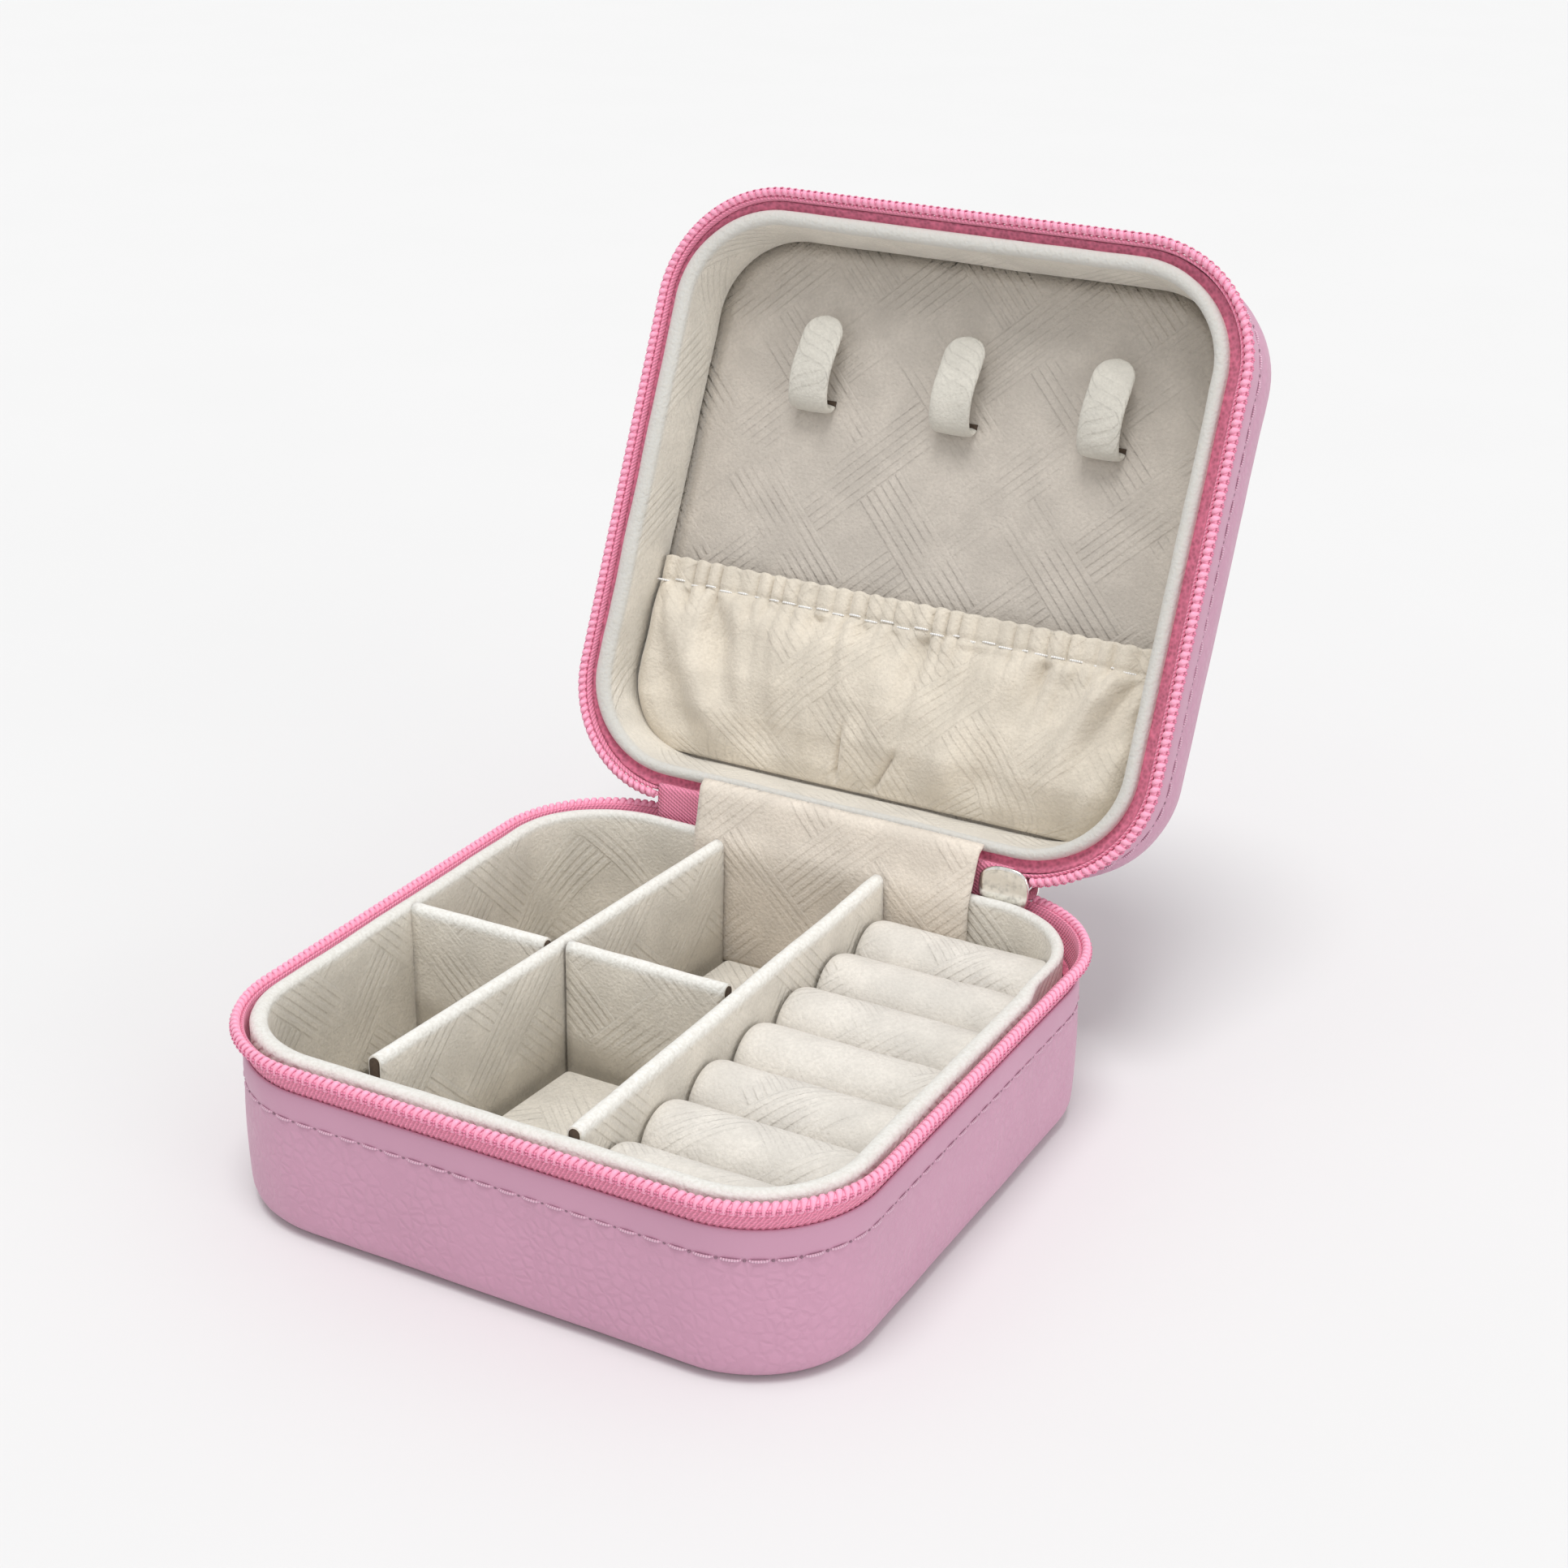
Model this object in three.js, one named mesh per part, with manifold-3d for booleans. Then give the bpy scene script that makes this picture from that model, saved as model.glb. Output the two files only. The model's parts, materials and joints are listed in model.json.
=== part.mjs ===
// A square travel jewelry box with rounded corners: a padded base and a hinged lid, closed by a coil zip.
// Millimetres. Origin at the centre of the underside, +Y to the hinge, +Z up. The lid stands open.
import * as THREE from 'three';
import { mergeVertices } from 'three/addons/utils/BufferGeometryUtils.js';
import Module from 'manifold-3d';

// Outline of the zip coil, the widest line of the box
const width = 100;
const cornerRadius = 19.6;
const cornerSteps = 4;

// Distances in from that outline to the outer face of each layer, and the layers' thicknesses
const leatherInset = 1.6;
const leatherThickness = 0.7;
const coilDepth = 2.3;
const tapeInset = 2.45;
const tapeThickness = 0.35;
const shellInset = 2.95;
const shellThickness = 1;
const boardInset = 4.25;
const liningInset = 4.1;
const liningThickness = 1.8;
const padInset = 6.2;

// Heights in the base
const baseCoilMiddle = 27;
const coilHeight = 2.6;
const coverHeight = 3;
const leatherBottom = 3.3;
const baseLeatherTop = 23.2;
const baseTapeBottom = 17;
const baseShellTop = 22.5;
const boardBottom = 3.3;
const boardThickness = 1;
const liningBottom = 4.6;
const baseLiningTop = 27.1;
const floorTop = 5.6;

// Heights in the lid, up from the middle of its coil with the lid closed
const coilSpacing = 4;
const lidTop = 18.2;
const lidLeatherBottom = 5;
const lidShellBottom = 4.8;
const lidTapeBottom = 0.6;
const lidTapeTop = 9;
const lidLiningBottom = 0;
const lidPanelFace = 11.3;
const lidPanelThickness = 2.1;

// The hinge line and how far the lid stands open
const hingeY = 47.755;
const hingeZ = 31.66;
const lidOpening = THREE.MathUtils.degToRad(114.16);
const hingeStripWidth = 48;
const coilGapHalf = 34.8;
const tapeGapHalf = 31.5;
const coilEndY = 38;

// The tray inside the base
const dividerThickness = 2.2;
const dividerTop = 27.5;
const velvetThickness = 0.4;
const trayHalf = width / 2 - liningInset - liningThickness - 0.3;
const trayRear = 42.7;
const rollCount = 7;
const rollLeft = 12.7;
const rollTop = 23.2;
const rollGap = 0.3;

// The lid's necklace hooks and pocket
const hookSpacing = 25.2;
const hookCentre = 2;
const hookWidth = 7;
const pocketEdge = 10.7;
const hemWidth = 4;

// The zip slider, centred where the rear straight meets the right corner
const sliderX = width / 2 - cornerRadius;
const sliderZ = baseCoilMiddle + coilSpacing / 2;
const plateHalfLength = 4.1;
const plateHalfHeight = 3.6;
const plateThickness = 0.5;
const outerPlateRise = 0.9;
const outerPlateY = width / 2 + 0.25;
const innerPlateY = width / 2 - 3.45;
const bailY = 52.3;
const bailZ = 26.2;

const lidZero = baseCoilMiddle + coilSpacing;
const half = width / 2;
const wasm = await Module();
wasm.setup();

const box = new THREE.Group();
box.name = 'jewelry_box';
const lidTurn = new THREE.Group();
lidTurn.position.set(0, hingeY, hingeZ);
lidTurn.rotation.x = -lidOpening;
box.add(lidTurn);
const lid = new THREE.Group();
lid.position.set(0, -hingeY, lidZero - hingeZ);
lidTurn.add(lid);

// ---- geometry helpers ----

function toSolid(geometry) {
  const plain = geometry.clone();
  plain.deleteAttribute('normal');
  plain.deleteAttribute('uv');
  const merged = mergeVertices(plain, 1e-4);
  const mesh = new wasm.Mesh({
    numProp: 3,
    vertProperties: new Float32Array(merged.attributes.position.array),
    triVerts: new Uint32Array(merged.index.array),
  });
  return new wasm.Manifold(mesh);
}

function toGeometry(solid) {
  const mesh = solid.getMesh();
  const geometry = new THREE.BufferGeometry();
  geometry.setAttribute('position', new THREE.BufferAttribute(new Float32Array(mesh.vertProperties), 3));
  geometry.setIndex(new THREE.BufferAttribute(new Uint32Array(mesh.triVerts), 1));
  geometry.computeVertexNormals();
  return geometry;
}

function without(geometry, ...tools) {
  return toGeometry(tools.reduce((left, tool) => left.subtract(toSolid(tool)), toSolid(geometry)));
}

function within(geometry, tool) {
  return toGeometry(toSolid(geometry).intersect(toSolid(tool)));
}

function joined(...geometries) {
  return toGeometry(geometries.map(toSolid).reduce((all, solid) => all.add(solid)));
}

function addPart(parent, name, geometry, colour, roughness, metalness = 0) {
  const material = new THREE.MeshStandardMaterial({ color: colour, roughness, metalness });
  const mesh = new THREE.Mesh(geometry, material);
  mesh.name = name;
  parent.add(mesh);
  return mesh;
}

// A box between two corners
function block(x0, x1, y0, y1, z0, z1) {
  const geometry = new THREE.BoxGeometry(x1 - x0, y1 - y0, z1 - z0);
  return geometry.translate((x0 + x1) / 2, (y0 + y1) / 2, (z0 + z1) / 2);
}

// The rounded square of the box, a distance in from the zip coil's outline
function outline(inset, PathClass = THREE.Shape) {
  const radius = cornerRadius - inset;
  const centre = half - cornerRadius;
  const path = new PathClass();
  path.absarc(centre, centre, radius, 0, Math.PI / 2);
  path.absarc(-centre, centre, radius, Math.PI / 2, Math.PI);
  path.absarc(-centre, -centre, radius, Math.PI, Math.PI * 1.5);
  path.absarc(centre, -centre, radius, Math.PI * 1.5, Math.PI * 2);
  return path;
}

function plate(inset, bottom, top) {
  const options = { depth: top - bottom, bevelEnabled: false, curveSegments: cornerSteps };
  return new THREE.ExtrudeGeometry(outline(inset), options).translate(0, 0, bottom);
}

// A plate whose lower edge is rounded by its whole height
function roundedPlate(inset, bottom, top) {
  const radius = top - bottom;
  const options = {
    depth: 1, bevelEnabled: true, bevelThickness: radius, bevelSize: radius, bevelOffset: -radius,
    bevelSegments: 3, curveSegments: cornerSteps,
  };
  const whole = new THREE.ExtrudeGeometry(outline(inset), options).translate(0, 0, bottom + radius);
  return within(whole, block(-half, half, -half, half, bottom - 1, top));
}

function ring(inset, thickness, bottom, top) {
  const shape = outline(inset);
  shape.holes.push(outline(inset + thickness, THREE.Path));
  const options = { depth: top - bottom, bevelEnabled: false, curveSegments: cornerSteps };
  return new THREE.ExtrudeGeometry(shape, options).translate(0, 0, bottom);
}

// The zip coil: a ring with an eight-sided section
function coilRing(middle) {
  const bevel = 0.7;
  const shape = outline(bevel);
  shape.holes.push(outline(coilDepth - bevel, THREE.Path));
  const options = {
    depth: coilHeight - 2 * bevel, bevelEnabled: true, bevelThickness: bevel, bevelSize: bevel,
    bevelSegments: 1, curveSegments: cornerSteps,
  };
  return new THREE.ExtrudeGeometry(shape, options).translate(0, 0, middle - coilHeight / 2 + bevel);
}

// What is left of a ring when its stretch along the hinge is taken away
function openAtHinge(geometry, gapHalf) {
  return without(geometry, block(-gapHalf, gapHalf, half - 12, half + 1, -20, 60));
}

// A strap of even thickness along a smooth line through points of the YZ plane, from x0 to x1
function strap(points, thickness, x0, x1, steps) {
  const line = new THREE.SplineCurve(points.map(([y, z]) => new THREE.Vector2(y, z)));
  const sides = [thickness / 2, -thickness / 2].map((offset) =>
    Array.from({ length: steps + 1 }, (_, i) => {
      const along = line.getTangent(i / steps);
      const normal = new THREE.Vector2(-along.y, along.x).multiplyScalar(offset);
      return line.getPoint(i / steps).add(normal);
    }));
  const shape = new THREE.Shape([...sides[0], ...sides[1].reverse()]);
  return extrudeAlongX(shape, x0, x1);
}

// A shape drawn in the YZ plane, extruded from x0 to x1
function extrudeAlongX(shape, x0, x1, steps = 6) {
  const geometry = new THREE.ExtrudeGeometry(shape, { depth: x1 - x0, bevelEnabled: false, curveSegments: steps });
  const basis = new THREE.Matrix4().makeBasis(
    new THREE.Vector3(0, 1, 0), new THREE.Vector3(0, 0, 1), new THREE.Vector3(1, 0, 0));
  return geometry.applyMatrix4(basis).translate(x0, 0, 0);
}

// Where a point of the closed lid, given by y and height over the lid coil's middle, stands at rest
function lidPoint(y, height) {
  const dy = y - hingeY;
  const dz = lidZero + height - hingeZ;
  const cos = Math.cos(lidOpening);
  const sin = Math.sin(lidOpening);
  return [hingeY + dy * cos + dz * sin, hingeZ - dy * sin + dz * cos];
}

// ---- base ----

function buildBase() {
  const leather = 0xc794ab;
  const lining = 0xcdc5ba;
  addPart(box, 'base_bottom_cover', roundedPlate(leatherInset, 0, coverHeight), leather, 0.55);
  const band = ring(leatherInset, leatherThickness, leatherBottom, baseLeatherTop);
  addPart(box, 'base_leather_band', band, leather, 0.55);
  addPart(box, 'base_shell_wall', ring(shellInset, shellThickness, boardBottom, baseShellTop), 0x5a4a3e, 0.9);
  const boardTop = boardBottom + boardThickness;
  addPart(box, 'base_floor_board', plate(boardInset, boardBottom, boardTop), 0x5a4a3e, 0.9);
  const wall = ring(liningInset, liningThickness, liningBottom, baseLiningTop);
  addPart(box, 'base_lining_wall', wall, lining, 0.95);
  addPart(box, 'base_floor_pad', plate(padInset, liningBottom, floorTop), lining, 0.95);
  const coilTop = baseCoilMiddle + coilHeight / 2;
  const tape = ring(tapeInset, tapeThickness, baseTapeBottom, coilTop - 0.2);
  addPart(box, 'base_zip_tape', openAtHinge(tape, tapeGapHalf), 0xd97a95, 0.8);
  addPart(box, 'base_zip_coil', openAtHinge(coilRing(baseCoilMiddle), coilGapHalf), 0xf5a0bd, 0.45);
}

// ---- dividers and ring rolls ----

// A divider standing on the floor: a velvet sleeve over a card, running along X from 0
function addDivider(name, length, top) {
  const bottom = floorTop + 0.3;
  const round = dividerThickness / 2;
  const slot = round - velvetThickness;
  const section = new THREE.Shape();
  section.moveTo(slot, bottom);
  section.lineTo(round, bottom);
  section.lineTo(round, top - round);
  section.absarc(0, top - round, round, 0, Math.PI);
  section.lineTo(-round, bottom);
  section.lineTo(-slot, bottom);
  section.lineTo(-slot, top - round);
  section.lineTo(slot, top - round);
  const group = new THREE.Group();
  box.add(group);
  addPart(group, `${name}_sleeve`, extrudeAlongX(section, 0, length, 3), 0xd0c7ba, 0.95);
  const cardHalf = slot - 0.1;
  const card = block(0, length + 0.2, -cardHalf, cardHalf, bottom, top - round - 0.2);
  addPart(group, `${name}_card`, card, 0x4b3e32, 0.9);
  return group;
}

// Runs a divider from one point of the floor plan to another
function layDivider(name, from, to, top = dividerTop) {
  const dx = to[0] - from[0];
  const dy = to[1] - from[1];
  const divider = addDivider(name, Math.hypot(dx, dy), top);
  divider.position.set(from[0], from[1], 0);
  divider.rotation.z = Math.atan2(dy, dx);
}

function buildDividers() {
  const rear = trayRear - 0.4;
  layDivider('divider_long_left', [-17.2, rear], [-22.7, -40.5]);
  layDivider('divider_long_right', [11.1, -trayHalf + 0.2], [11.1, rear], dividerTop + 0.8);
  layDivider('divider_short_left', [-trayHalf, 0], [-21.7, 0]);
  layDivider('divider_short_middle', [-18.4, 1], [8.2, 1]);
}

// The side view of a ring roll: upright sides and a round top
function rollSection(centre, radius, bottom, top) {
  const shape = new THREE.Shape();
  shape.moveTo(centre - radius, bottom);
  shape.lineTo(centre + radius, bottom);
  shape.absarc(centre, top - radius, radius, 0, Math.PI);
  return shape;
}

function buildRingRolls() {
  const pitch = (trayRear + trayHalf) / rollCount;
  const radius = (pitch - rollGap) / 2;
  const bottom = floorTop + 0.3;
  const cover = 0.6;
  for (let i = 0; i < rollCount; i += 1) {
    const centre = -trayHalf + pitch * (i + 0.5);
    const skin = rollSection(centre, radius, bottom, rollTop);
    const core = rollSection(centre, radius - cover, bottom + cover, rollTop - cover);
    const foam = rollSection(centre, radius - cover - 0.2, bottom + cover + 0.2, rollTop - cover - 0.2);
    skin.holes.push(core);
    const sleeve = within(extrudeAlongX(skin, rollLeft, trayHalf), plate(padInset, 0, baseLiningTop));
    addPart(box, `ring_roll_cover_${i + 1}`, sleeve, 0xe2ddd2, 0.95);
    const filling = extrudeAlongX(foam, rollLeft + 0.4, trayHalf - 0.4);
    const trimmed = within(filling, plate(padInset + 0.3, 0, baseLiningTop));
    addPart(box, `ring_roll_foam_${i + 1}`, trimmed, 0xf0ead8, 1);
  }
}

// ---- lid, modelled closed, heights up from its coil ----

function buildLid() {
  const leather = 0xd4a5bd;
  const lining = 0xb5aca0;
  const seam = lidTop - coverHeight;
  const shellTop = seam - 0.3;
  const cover = roundedPlate(leatherInset, -lidTop, -seam).rotateX(Math.PI);
  addPart(lid, 'lid_top_cover', cover, leather, 0.55);
  const band = ring(leatherInset, leatherThickness, lidLeatherBottom, shellTop);
  addPart(lid, 'lid_leather_band', band, leather, 0.55);
  addPart(lid, 'lid_shell_wall', ring(shellInset, shellThickness, lidShellBottom, shellTop), 0x5a4a3e, 0.9);
  const board = plate(boardInset, shellTop - boardThickness, shellTop);
  addPart(lid, 'lid_board', board, 0x5a4a3e, 0.9);
  const panelTop = lidPanelFace + lidPanelThickness;
  const wall = ring(liningInset, liningThickness, lidLiningBottom, panelTop);
  addPart(lid, 'lid_lining_wall', wall, lining, 0.95);
  addPart(lid, 'lid_panel', plate(padInset, lidPanelFace, panelTop), lining, 0.95);
  const tape = ring(tapeInset, tapeThickness, lidTapeBottom, lidTapeTop);
  addPart(lid, 'lid_zip_tape', openAtHinge(tape, tapeGapHalf), 0xd97a95, 0.8);
  const coil = openAtHinge(coilRing(0), coilGapHalf);
  const corner = (front) => block(sliderX, half + 1, front, half + 1, -coilHeight, coilHeight);
  addPart(lid, 'lid_zip_coil', without(coil, corner(coilEndY)), 0xf5a0bd, 0.45);
  addPart(lid, 'lid_zip_coil_end', within(coil, corner(coilEndY + 0.3)), 0xf5a0bd, 0.45);
}

// A necklace hook: a strap folded up off the panel, with a rounded free tip towards the lid's front
function buildHooks() {
  const line = [[-20.2, 0.95], [-17.9, 1.2], [-16.9, 2.7], [-18.7, 4.2], [-23, 4.5], [-28, 3.5], [-32.4, 2.2]];
  const points = line.map(([y, off]) => [y, lidPanelFace - off]);
  ['left', 'middle', 'right'].forEach((name, i) => {
    const x = hookCentre + hookSpacing * (i - 1);
    const bent = strap(points, 1.1, x - hookWidth / 2, x + hookWidth / 2, 22);
    const plan = new THREE.Shape();
    plan.moveTo(x - hookWidth / 2 - 1, -10);
    plan.lineTo(x - hookWidth / 2 - 1, -28);
    plan.lineTo(x - hookWidth / 2, -28);
    plan.absarc(x, -28.7, hookWidth / 2, Math.PI, 2 * Math.PI);
    plan.lineTo(x + hookWidth / 2, -28);
    plan.lineTo(x + hookWidth / 2 + 1, -28);
    plan.lineTo(x + hookWidth / 2 + 1, -10);
    const keep = new THREE.ExtrudeGeometry(plan, { depth: 12, bevelEnabled: false, curveSegments: 6 });
    addPart(lid, `hook_${name}`, within(bent, keep), 0xc9c1b5, 0.95);
  });
}

function buildPocket() {
  const hemEnd = pocketEdge + hemWidth;
  const sheet = [[hemEnd + 0.3, 3.4], [22, 4.7], [30, 5.1], [37, 4.2], [41, 2.4], [43.3, 1]];
  const points = sheet.map(([y, off]) => [y, lidPanelFace - off]);
  const cloth = strap(points, 0.8, -half, half, 14);
  addPart(lid, 'pocket', within(cloth, plate(padInset, 0, lidPanelFace)), 0xdfd4c2, 0.95);
  const hemPoints = [[pocketEdge, 3.1], [pocketEdge + hemWidth / 2, 3.4], [hemEnd, 3.4]];
  const hem = strap(hemPoints.map(([y, off]) => [y, lidPanelFace - off]), 1.3, -half + padInset, half - padInset, 4);
  addPart(lid, 'pocket_elastic', hem, 0xdfd4c2, 0.95);
}

// ---- hinge strips, drawn as they lie with the lid at rest ----

function buildHinge() {
  const x = hingeStripWidth / 2;
  const inside = half - padInset - 0.4;
  const liningLine = [
    [inside, floorTop + 0.4], [inside, 12], [inside, 20], [inside, 26], [inside + 1.1, 29.5],
    lidPoint(44.6, -1.6), lidPoint(43.35, -0.2), lidPoint(43.3, 2), lidPoint(43.3, 5),
  ];
  addPart(box, 'hinge_lining', strap(liningLine, 0.8, -x, x, 40), 0xe1d4c8, 0.95);

  const tapeY = half - tapeInset - tapeThickness / 2;
  const tapeLine = [
    [tapeY, 18], [tapeY, 24], [tapeY, 30], [tapeY + 0.3, 31.9], lidPoint(tapeY, 1.3), lidPoint(tapeY, 3.5),
    lidPoint(tapeY, 4.6),
  ];
  const tapeEnd = tapeGapHalf - 0.3;
  const tape = strap(tapeLine, tapeThickness, -tapeEnd, tapeEnd, 24);
  addPart(box, 'hinge_tape', tape, 0xd97a95, 0.8);

  const outside = half - leatherInset + 0.5;
  const leatherLine = [
    [outside, 14], [outside, 20], [outside, 26], [outside, 28.4], [outside + 0.65, 29.5],
    lidPoint(outside, 4.4), lidPoint(outside, 8), lidPoint(outside, 12),
  ];
  addPart(box, 'hinge_leather', strap(leatherLine, leatherThickness, -x, x, 36), 0xc794ab, 0.55);
}

// ---- zip slider and pull ----

// The slider's plate, drawn across X and Z: broad at the nose, narrow at the tail
function sliderPlate(y) {
  const tail = plateHalfHeight * 0.72;
  const shape = new THREE.Shape();
  shape.moveTo(plateHalfLength, -plateHalfHeight + 1.2);
  shape.quadraticCurveTo(plateHalfLength, 0, plateHalfLength, plateHalfHeight - 1.2);
  shape.quadraticCurveTo(plateHalfLength, plateHalfHeight, plateHalfLength - 1.4, plateHalfHeight);
  shape.quadraticCurveTo(-1, plateHalfHeight - 0.2, -plateHalfLength, tail);
  shape.lineTo(-plateHalfLength, -tail);
  shape.quadraticCurveTo(-1, -plateHalfHeight + 0.2, plateHalfLength - 1.4, -plateHalfHeight);
  shape.quadraticCurveTo(plateHalfLength, -plateHalfHeight, plateHalfLength, -plateHalfHeight + 1.2);
  const options = { depth: plateThickness, bevelEnabled: false, curveSegments: 4 };
  const flat = new THREE.ExtrudeGeometry(shape, options).rotateX(Math.PI / 2);
  return flat.translate(sliderX, y + plateThickness, sliderZ);
}

function buildSlider() {
  const inner = sliderPlate(innerPlateY - plateThickness);
  const belowLid = block(0, half, half, half + 5, 0, sliderZ + outerPlateRise);
  const outer = within(sliderPlate(outerPlateY), belowLid);
  const nose = sliderX + plateHalfLength;
  const bridge = block(nose - 2.6, nose - 0.5, innerPlateY - 0.2, outerPlateY + 0.2, sliderZ - 0.45, sliderZ + 0.45);
  const postY = outerPlateY + plateThickness - 0.2;
  const wire = 0.25;
  const posts = [-1.6, 1.6].map((x) =>
    block(sliderX + x - wire, sliderX + x + wire, postY, bailY + wire, bailZ - wire, bailZ + wire));
  const crown = block(sliderX - 1.6, sliderX + 1.6, bailY - wire, bailY + wire, bailZ - wire, bailZ + wire);
  addPart(box, 'slider_body', joined(inner, outer, bridge, ...posts, crown), 0xc9ccd1, 0.2, 1);
}

// A slot with round ends, upright, from one height to another
function slot(PathClass, x, radius, bottom, top) {
  const path = new PathClass();
  path.absarc(x, top - radius, radius, 0, Math.PI);
  path.absarc(x, bottom + radius, radius, Math.PI, 2 * Math.PI);
  return path;
}

function buildPull() {
  const linkTop = bailZ + 0.95;
  const linkBottom = bailZ - 3.35;
  const link = slot(THREE.Shape, bailY, 1.15, linkBottom, linkTop);
  link.holes.push(slot(THREE.Path, bailY, 0.6, linkBottom + 0.55, linkTop - 0.55));
  addPart(box, 'pull_link', extrudeAlongX(link, sliderX - 0.35, sliderX + 0.35, 3), 0xc9ccd1, 0.2, 1);

  const tabTop = bailZ - 0.6;
  const tabWidth = 5;
  const tab = slot(THREE.Shape, sliderX, tabWidth / 2, tabTop - 17, tabTop);
  tab.holes.push(slot(THREE.Path, sliderX, 0.95, tabTop - 3.7, tabTop - 1.4));
  const thickness = 0.8;
  const flat = new THREE.ExtrudeGeometry(tab, { depth: thickness, bevelEnabled: false, curveSegments: 5 });
  flat.rotateX(Math.PI / 2).translate(0, bailY + thickness / 2, 0);
  addPart(box, 'pull_tab', flat, 0xc9ccd1, 0.2, 1);
}

buildBase();
buildDividers();
buildRingRolls();
buildLid();
buildHooks();
buildPocket();
buildHinge();
buildSlider();
buildPull();

export default box;
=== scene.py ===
"""A square travel jewelry box with rounded corners: padded base, hinged lid standing open, coil zip.

Lengths are in millimetres, and build() turns them into metres. The box's outline is a rounded square. A point
on a wall is given by how far it lies in from that outline and by its height. Pieces of the lid are drawn as if
the lid were closed, and belongs() turns them to where it stands.
"""
import json
import math

import bmesh
import bpy
import numpy as np
from mathutils import Matrix, Vector, noise


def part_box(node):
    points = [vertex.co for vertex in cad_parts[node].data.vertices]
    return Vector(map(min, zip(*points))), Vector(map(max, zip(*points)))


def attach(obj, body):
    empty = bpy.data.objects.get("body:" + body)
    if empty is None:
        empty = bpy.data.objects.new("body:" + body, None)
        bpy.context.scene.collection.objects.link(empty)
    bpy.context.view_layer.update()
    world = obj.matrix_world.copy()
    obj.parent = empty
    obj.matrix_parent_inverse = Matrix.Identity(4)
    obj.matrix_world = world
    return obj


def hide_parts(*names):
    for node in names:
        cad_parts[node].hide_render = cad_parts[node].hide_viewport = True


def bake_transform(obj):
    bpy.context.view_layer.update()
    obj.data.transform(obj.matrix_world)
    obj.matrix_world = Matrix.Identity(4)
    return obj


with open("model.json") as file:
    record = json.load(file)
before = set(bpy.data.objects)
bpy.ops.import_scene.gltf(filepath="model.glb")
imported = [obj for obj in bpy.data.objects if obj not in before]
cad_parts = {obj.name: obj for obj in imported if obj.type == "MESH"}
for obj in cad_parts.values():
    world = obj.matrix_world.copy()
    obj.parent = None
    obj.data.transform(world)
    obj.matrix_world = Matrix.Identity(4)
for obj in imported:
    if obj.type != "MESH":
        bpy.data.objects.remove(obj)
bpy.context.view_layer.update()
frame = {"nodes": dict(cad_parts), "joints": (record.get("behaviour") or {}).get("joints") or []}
MM = 0.001

# The outline, and the heights of the base
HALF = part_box("base_zip_coil")[1].x / MM
CORNER = 19.6
CORE = HALF - CORNER
COIL_MIDDLE = (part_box("base_zip_coil")[0].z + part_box("base_zip_coil")[1].z) / 2 / MM
BASE_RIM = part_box("base_leather_band")[1].z / MM
FLOOR_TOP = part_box("base_floor_pad")[1].z / MM
LINING_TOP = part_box("base_lining_wall")[1].z / MM
TRAY_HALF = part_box("base_floor_pad")[1].x / MM

# The lid's heights are measured up from its own coil, at LID_ZERO when the lid is closed
COIL_SPACING = 4.0
LID_ZERO = COIL_MIDDLE + COIL_SPACING
LID_TOP = 18.2
LID_RIM = 5.0
LID_PANEL = 11.3
FLARE = {"base": 0.0, "lid": 1.3}

# Layers, as distances in from the outline
LEATHER_OUT = 1.6
LEATHER_IN = 2.3
TAPE_OUT = 2.4
LINING_OUT = 4.1
LINING_IN = 5.9
PAD_IN = 6.2

# Zip, stitches and hinge
COIL_PITCH = 1.2
COIL_GAP = 34.8
TAPE_GAP = 31.2
STITCH_PITCH = 3.65
STITCH_DROP = 4.4
HINGE_WIDTH = 48

# Colours, as the eye sees them
PINK_LEATHER = (198, 148, 172)
PINK_THREAD = (218, 176, 196)
PINK_TAPE = (247, 148, 178)
PINK_COIL = (252, 170, 198)
GREY_VELVET = (224, 218, 207)
# Painted highlight: the pale colour laid over velvet rims and divider tops
RIM_HIGHLIGHT = (240, 240, 236)
PANEL_VELVET = (196, 188, 178)
ROLL_VELVET = (223, 218, 210)
CREAM_VELVET = (220, 211, 196)
STRIP_VELVET = (226, 216, 203)
HOOK_VELVET = (208, 204, 194)
CARD = (74, 60, 48)
# Zip sewing: the thread's own pink, deepened with painted shade from the gaps between coil loops
SEWING_WITH_GAP_SHADE = (232, 134, 168)
POCKET_THREAD = (250, 248, 244)
# A pink darkened with painted shade, for cloth seen in the shaded gaps
SHADED_BACKING = (208, 116, 142)
SILVER = (250, 248, 242)
FLOOR_GREYS = (223, 225)

# The lines pressed into the velvet
BAND_WIDTH = 8.6
BAND_LINES = 6


# ---- materials ----

def linear(colour):
    """A colour of 0 to 255, as the eye sees it, in the renderer's own scale."""
    shares = [c / 255 for c in colour]
    return tuple(s / 12.92 if s <= 0.04045 else ((s + 0.055) / 1.055) ** 2.4 for s in shares) + (1,)


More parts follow.
